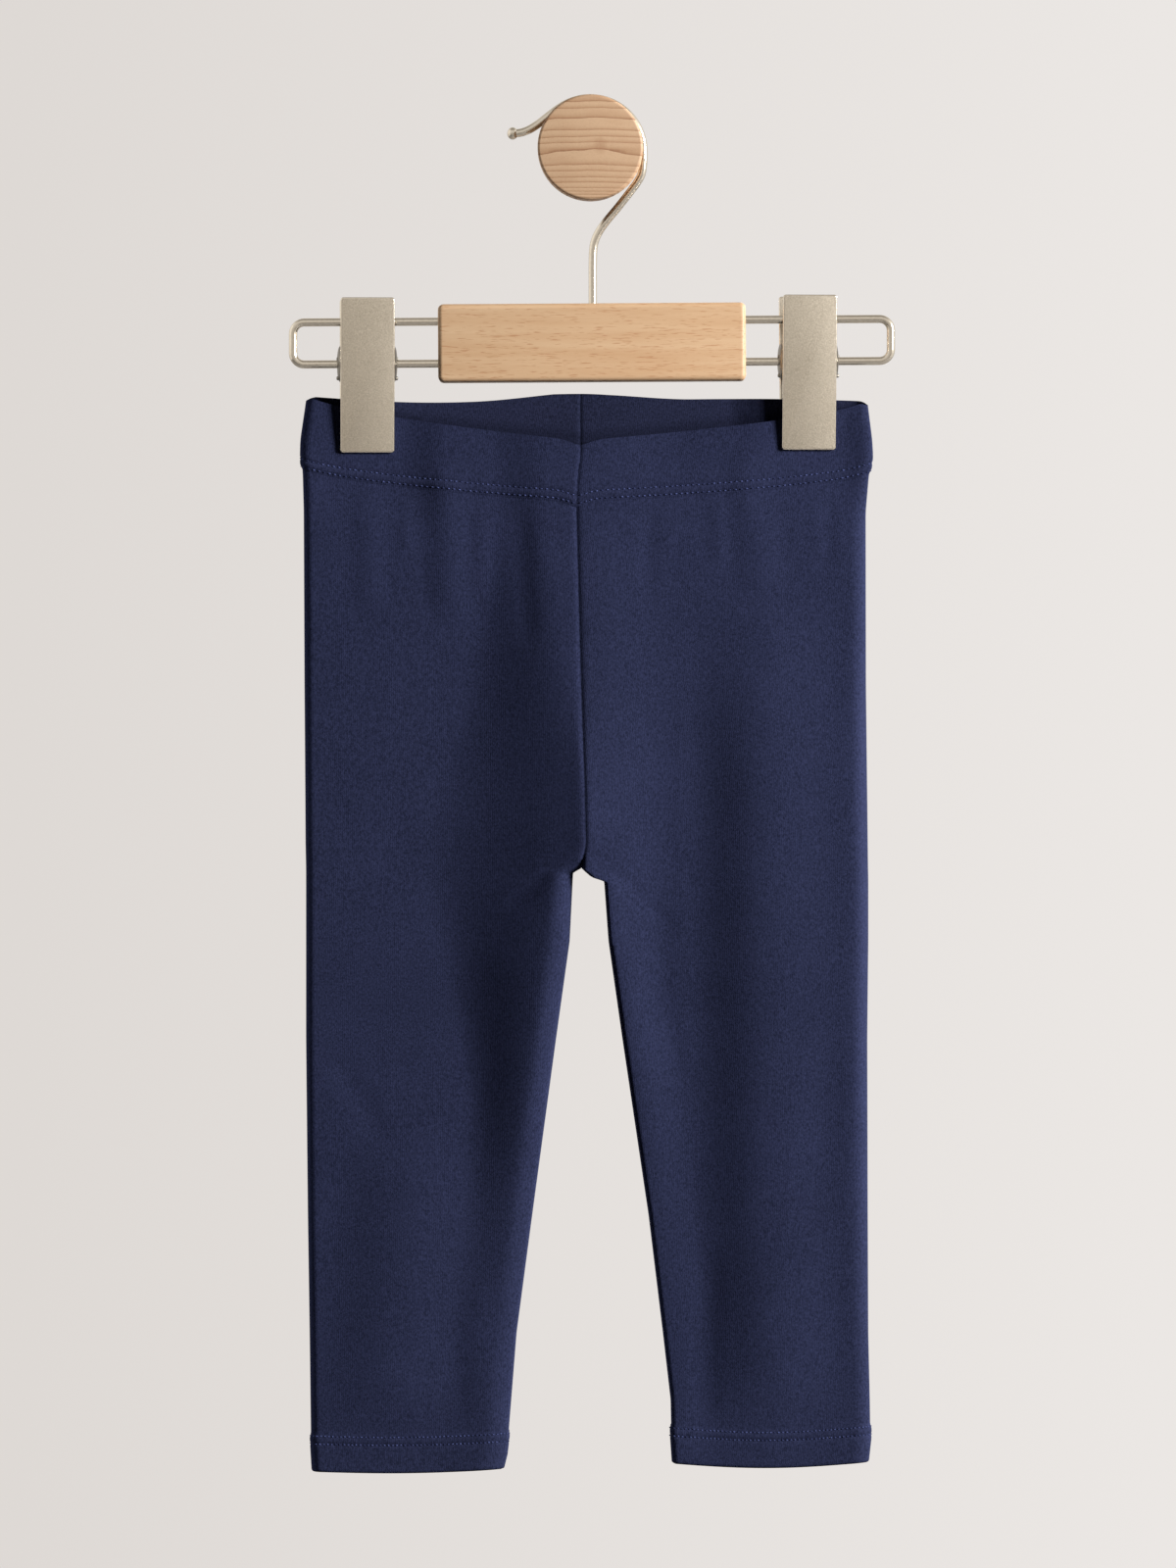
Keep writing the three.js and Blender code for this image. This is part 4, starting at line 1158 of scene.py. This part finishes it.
# %% Peg
NECK, HEAD, NECK_LENGTH, PEG_LENGTH, PEG_ROUND = 18.1, 20.35, 28.0, 42.0, 1.1
profile = [(NEAR_AXIS, 0.0), (NECK, 0.0), (NECK, NECK_LENGTH - 0.2)]
for corner_y, first in ((NECK_LENGTH + PEG_ROUND, -90), (PEG_LENGTH - PEG_ROUND, 0)):
    for a in np.linspace(first, first + 90, 8):
        r = math.radians(a)
        profile.append((
            HEAD - PEG_ROUND + PEG_ROUND * math.cos(r), corner_y + PEG_ROUND * math.sin(r)
        ))
profile.append((NEAR_AXIS, PEG_LENGTH))
# The peg isn't lowered with the hanger, so it is made that much higher.
peg = Pile()
peg.lathe(profile, (0, 0, HANG_DROP), (0, -1, 0), 120)
settle(peg.piece("wall_peg_turned", BEECH_PEG, 40), "beech", "wall_peg")
print("peg is", PEG_LENGTH, "mm long")

# %% [markdown]
# ## Clips
# A clip is two sheet-metal plates that lean together over the cloth. Ears bent in from each
# plate go round the arm wire, and a coil spring between them keeps the jaws shut. Each
# plate gets real rounded edges, because the photograph shows them as bright lines.

# %% Clip sizes and ears
CLIP_WIDTH, CLIP_TOP, CLIP_SHEET = 21.0, -56.4, 1.2
JAW_INNER, HEAD_INNER = CASING + 0.2 + GAP, 8.2
PLATE_CORNER, PLATE_EDGE, FLAT_FACE = 1.1, 0.52, 5e-5
EAR = {"thick": 1.0, "reach": 4.6, "top": (7.2, 7.2), "bottom": (5.7, -9.2), "hole": 1.9}
EAR_INSET = 0.5
CAP = [(6.9, 0.0), (6.9, 0.3), (6.3, 0.7), (5.0, 1.0), (3.4, 1.2), (1.9, 1.25), (1.9, 0.0)]
RIVET = [(0.02, 0.0), (0.75, 0.0), (0.75, 1.2), (0.5, 1.5), (0.02, 1.55)]
RIVET_PLACES = [(-2.6, 1.9), (-1.6, -5.6)]


def ear_ring(facing, x, axle):
    """A side ear as a closed ring of points: round about the axle, and wide at the plate."""
    angles = np.radians(np.arange(0, 360, 7.5))
    corners = [EAR["top"], EAR["bottom"], (0, -EAR["reach"])]
    round_end = [
        (EAR["reach"] * math.cos(math.radians(a)), EAR["reach"] * math.sin(math.radians(a)))
        for a in range(-96, -265, -8)
    ]
    loop = np.array(corners + round_end + [(0, EAR["reach"])])
    dense = np.concatenate([
        loop[i] + (loop[(i + 1) % len(loop)] - loop[i]) * np.linspace(0, 1, 30)[:-1, None]
        for i in range(len(loop))
    ])
    turn = np.mod(np.arctan2(dense[:, 1], dense[:, 0]), 2 * np.pi)
    order = np.argsort(turn)
    reach = np.interp(
        angles, turn[order], np.hypot(dense[:, 0], dense[:, 1])[order], period=2 * np.pi
    )
    half, soft = EAR["thick"] / 2, 0.18
    rings = []
    for radius, height in (
        (np.full_like(reach, EAR["hole"]), -half), (reach - soft, -half), (reach, soft - half),
        (reach, half - soft), (reach - soft, half), (np.full_like(reach, EAR["hole"]), half),
    ):
        rings.append(np.stack([
            np.full_like(reach, x + height),
            facing * radius * np.cos(angles),
            axle + radius * np.sin(angles),
        ], 1))
    count = len(angles)
    faces = []
    for i in range(len(rings)):
        j = (i + 1) % len(rings)
        for k in range(count):
            n = (k + 1) % count
            faces.append((i * count + k, i * count + n, j * count + n, j * count + k))
    return np.concatenate(rings), faces


print("plate", CLIP_WIDTH, "by", round(CLIP_TOP - CLIP_BOTTOM, 1), "mm")


# %% Caps and clip places
def pivot_cap(side):
    """The domed cap outside an ear, through which the arm wire enters, and its two rivets."""
    start = side * (CLIP_WIDTH / 2 - 0.1)
    cap = Pile()
    cap.lathe(CAP, (start, 0, ARM_BOTTOM), (side, 0, 0), 40)
    for y, z in RIVET_PLACES:
        cap.lathe(RIVET, (start, y, ARM_BOTTOM + z), (side, 0, 0), 16)
    return cap


def clip_frame(leg):
    clip = CLIP[leg]
    return Matrix.Translation((clip["x"], PLANE_Y, rolled(clip["x"], 0))) @ Matrix.Rotation(
        math.radians(clip["turn"]), 4, "Z"
    )


def on_clip(leg, points):
    """Points of a clip's own frame, at the clip's place on the hanger."""
    matrix = np.array(clip_frame(leg))
    return np.asarray(points) @ matrix[:3, :3].T + matrix[:3, 3]


print("clips turned", [CLIP[leg]["turn"] for leg in SIGN], "degrees")


# %% Clip plates
def join(first, *others):
    """Joins meshes into the first, with its name and finishes."""
    bpy.ops.object.select_all(action="DESELECT")
    for obj in (first, *others):
        obj.select_set(True)
    bpy.context.view_layer.objects.active = first
    bpy.ops.object.join()
    return first


def clip_plate(leg, facing):
    """One plate with its two ears, in the clip's own frame and then in place."""
    word = "front" if facing < 0 else "back"
    height = CLIP_TOP - CLIP_BOTTOM
    lean = math.atan2(HEAD_INNER - JAW_INNER, height)
    plate = rounded_bar(
        f"clip_{leg}_{word}_plate", (CLIP_WIDTH, CLIP_SHEET, height),
        PLATE_CORNER, PLATE_EDGE, 4, SATIN_NICKEL,
    )
    middle = facing * ((HEAD_INNER + JAW_INNER) / 2 + CLIP_SHEET / 2)
    put(plate, clip_frame(leg) @ Matrix.Translation((0, middle, (CLIP_TOP + CLIP_BOTTOM) / 2))
        @ Matrix.Rotation(-facing * lean, 4, "X"))
    plate.data.materials.append(POLISHED_NICKEL)
    for face in plate.data.polygons:
        face.material_index = 0 if face.area > FLAT_FACE else 1
    ears = Pile()
    inner = 0 if facing < 0 else EAR["thick"] + GAP
    for side in (-1, 1):
        x = side * (CLIP_WIDTH / 2 - EAR_INSET - EAR["thick"] / 2 - inner)
        points, faces = ear_ring(facing, x, ARM_BOTTOM)
        ears.add(on_clip(leg, points), faces)
        if facing < 0:
            cap = pivot_cap(side)
            ears.add(on_clip(leg, cap.points), cap.faces)
    ear = ears.piece(f"ears_{leg}_{word}", SPRING_STEEL)
    return settle(join(plate, ear), "nickel_plate", f"clip_{leg}_{word}")


print("clip plates ready")


# %% Coil springs
def spring(leg):
    """A coil about the arm wire, whose two legs press on the plates."""
    turns, radius, half, wire, sides = 10, 3.35, 6.4, 0.55, 10
    t = np.linspace(0, turns, turns * 28)
    coil = np.stack([
        lerp(-half, half, t / turns), radius * np.sin(2 * np.pi * t),
        radius * np.cos(2 * np.pi * t),
    ], 1)
    first = np.array([(-half, -5.9, 9.0), (-half, -4.6, 5.0), (-half, -2.6, 3.4)])
    last = np.array([(half, 2.6, 3.4), (half, 4.6, 5.0), (half, 5.9, 9.0)])
    path = np.concatenate([first, coil, last])
    path[:, 2] += ARM_BOTTOM
    pile = Pile()
    pile.tube(on_clip(leg, path), wire, sides)
    return settle(
        pile.piece(f"clip_{leg}_coil", SPRING_STEEL), "nickel_wire", f"clip_{leg}_spring"
    )


for leg in SIGN:
    for facing in (-1, 1):
        piece = clip_plate(leg, facing)
        print(piece.name, len(piece.data.polygons), "faces")
    spring(leg)

# %% [markdown]
# ## Cloth pieces
# Blender can't know that a mesh was once flat cloth, and each leg, band and hem here
# stays a plain mesh.

# %% Sheets
print("cloth pieces are plain meshes")

# %% [markdown]
# ## Floor and light
# The studio is plain: a pale floor and a pale surround, with three soft lamps. The surround
# that the camera sees has painted shade, a little darker to the left than to the right. What a
# lamp shows on cloth is the slope of its folds, so the key lamp stands well to the right.
# A weaker one stands behind and a weak one on the left, and both are kept out of
# reflections, where they would make white spots on the wires. The floor throws no light
# back on the cloth, because that would wash the folds out.

# %% Floor
FLOOR_Z = -0.7
floor_finish = Finish("pale_floor", 0.8)
floor_grain = floor_finish.noise(floor_finish.place(), 0.02, 3.0)
floor_finish.set(
    "Base Color", floor_finish.blend(floor_grain, paint(161, 158, 155), paint(169, 166, 163))
)
corners = [(x, y, FLOOR_Z) for x, y in ((-1.5, -1.6), (1.5, -1.6), (1.5, 0.8), (-1.5, 0.8))]
floor = mesh_piece("floor", corners, [(0, 1, 2, 3)], floor_finish.material)
floor.visible_diffuse = False
print("floor at", FLOOR_Z, "m")

# %% Surround
world = bpy.data.worlds.new("pale_surround")
bpy.context.scene.world = world
world.use_nodes = True
sky = Graph(world.node_tree)


def dome(stops, axis, spread, strength):
    """A soft surround whose colour changes along one direction."""
    direction = sky.node("ShaderNodeTexCoord", output="Generated")
    way = sky.node("ShaderNodeSeparateXYZ", inputs={0: direction}, output=axis)
    span = sky.node(
        "ShaderNodeMapRange", inputs={"Value": way, "From Min": -spread, "From Max": spread}
    )
    painted = [(place, paint(*shade)) for place, shade in stops]
    colour = sky.node("ShaderNodeValToRGB", {"stops": painted}, {"Fac": span})
    return sky.node("ShaderNodeBackground", inputs={"Color": colour, "Strength": strength})


def choose(kind, otherwise, then):
    """One surround for the rays of a kind, and another for all the rest."""
    ray = sky.node("ShaderNodeLightPath", output=kind)
    return sky.node("ShaderNodeMixShader", inputs={0: ray, 1: otherwise, 2: then})


fill = dome([(0, (214, 214, 220)), (1, (235, 228, 222))], "Y", 1.0, 0.04)
mirrored = dome([
    (0.0, (190, 184, 176)), (0.30, (222, 215, 207)), (0.40, (178, 171, 163)),
    (0.50, (216, 209, 200)), (0.66, (238, 232, 224)), (0.82, (255, 250, 243)),
    (0.93, (232, 225, 216)), (1.0, (180, 174, 166)),
], "Z", 0.9, 0.95)
boxes = dome([
    (0.0, (225, 221, 214)), (0.22, (0, 0, 0)), (0.80, (0, 0, 0)), (1.0, (235, 233, 228)),
], "X", 1.0, 0.75)
both = sky.node("ShaderNodeAddShader", inputs={0: mirrored, 1: boxes})
# Painted shade on the surround that the camera sees: darker to the left than to the right.
backdrop_painted_shade = dome([(0, (222, 217, 213)), (1, (235, 231, 228))], "X", 0.055, 1.0)
surround = choose("Is Camera Ray", choose("Is Glossy Ray", fill, both), backdrop_painted_shade)
sky.feed(sky.tree.nodes["World Output"].inputs["Surface"], surround)
print("surround has", len(sky.tree.nodes), "nodes")

# %% Lamps
BEAM = 100


def lamp(name, place, size, watts, colour):
    """A square soft lamp aimed at the middle of the cloth."""
    data = bpy.data.lights.new(name, "AREA")
    data.shape = "SQUARE"
    data.size = size
    data.energy = watts
    data.spread = math.radians(BEAM)
    data.color = colour
    obj = bpy.data.objects.new(name, data)
    obj.location = place
    aim = Vector((0, PLANE_Y * MM, -0.28)) - obj.location
    obj.rotation_euler = aim.to_track_quat("-Z", "Y").to_euler()
    bpy.context.scene.collection.objects.link(obj)
    return obj


lamp("key_right", (2.6, -1.55, 0.6), 1.0, 54, (1.0, 0.985, 0.965))
rear = lamp("rear", (2.2, 1.9, 0.9), 1.0, 38, (1.0, 0.99, 0.975))
rim = lamp("rim_left", (-2.6, 0.5, 0.2), 0.9, 8.4, (1.0, 0.99, 0.98))
for weak in (rear, rim):
    weak.visible_glossy = False
print("lamps set, beams", BEAM, "degrees wide")
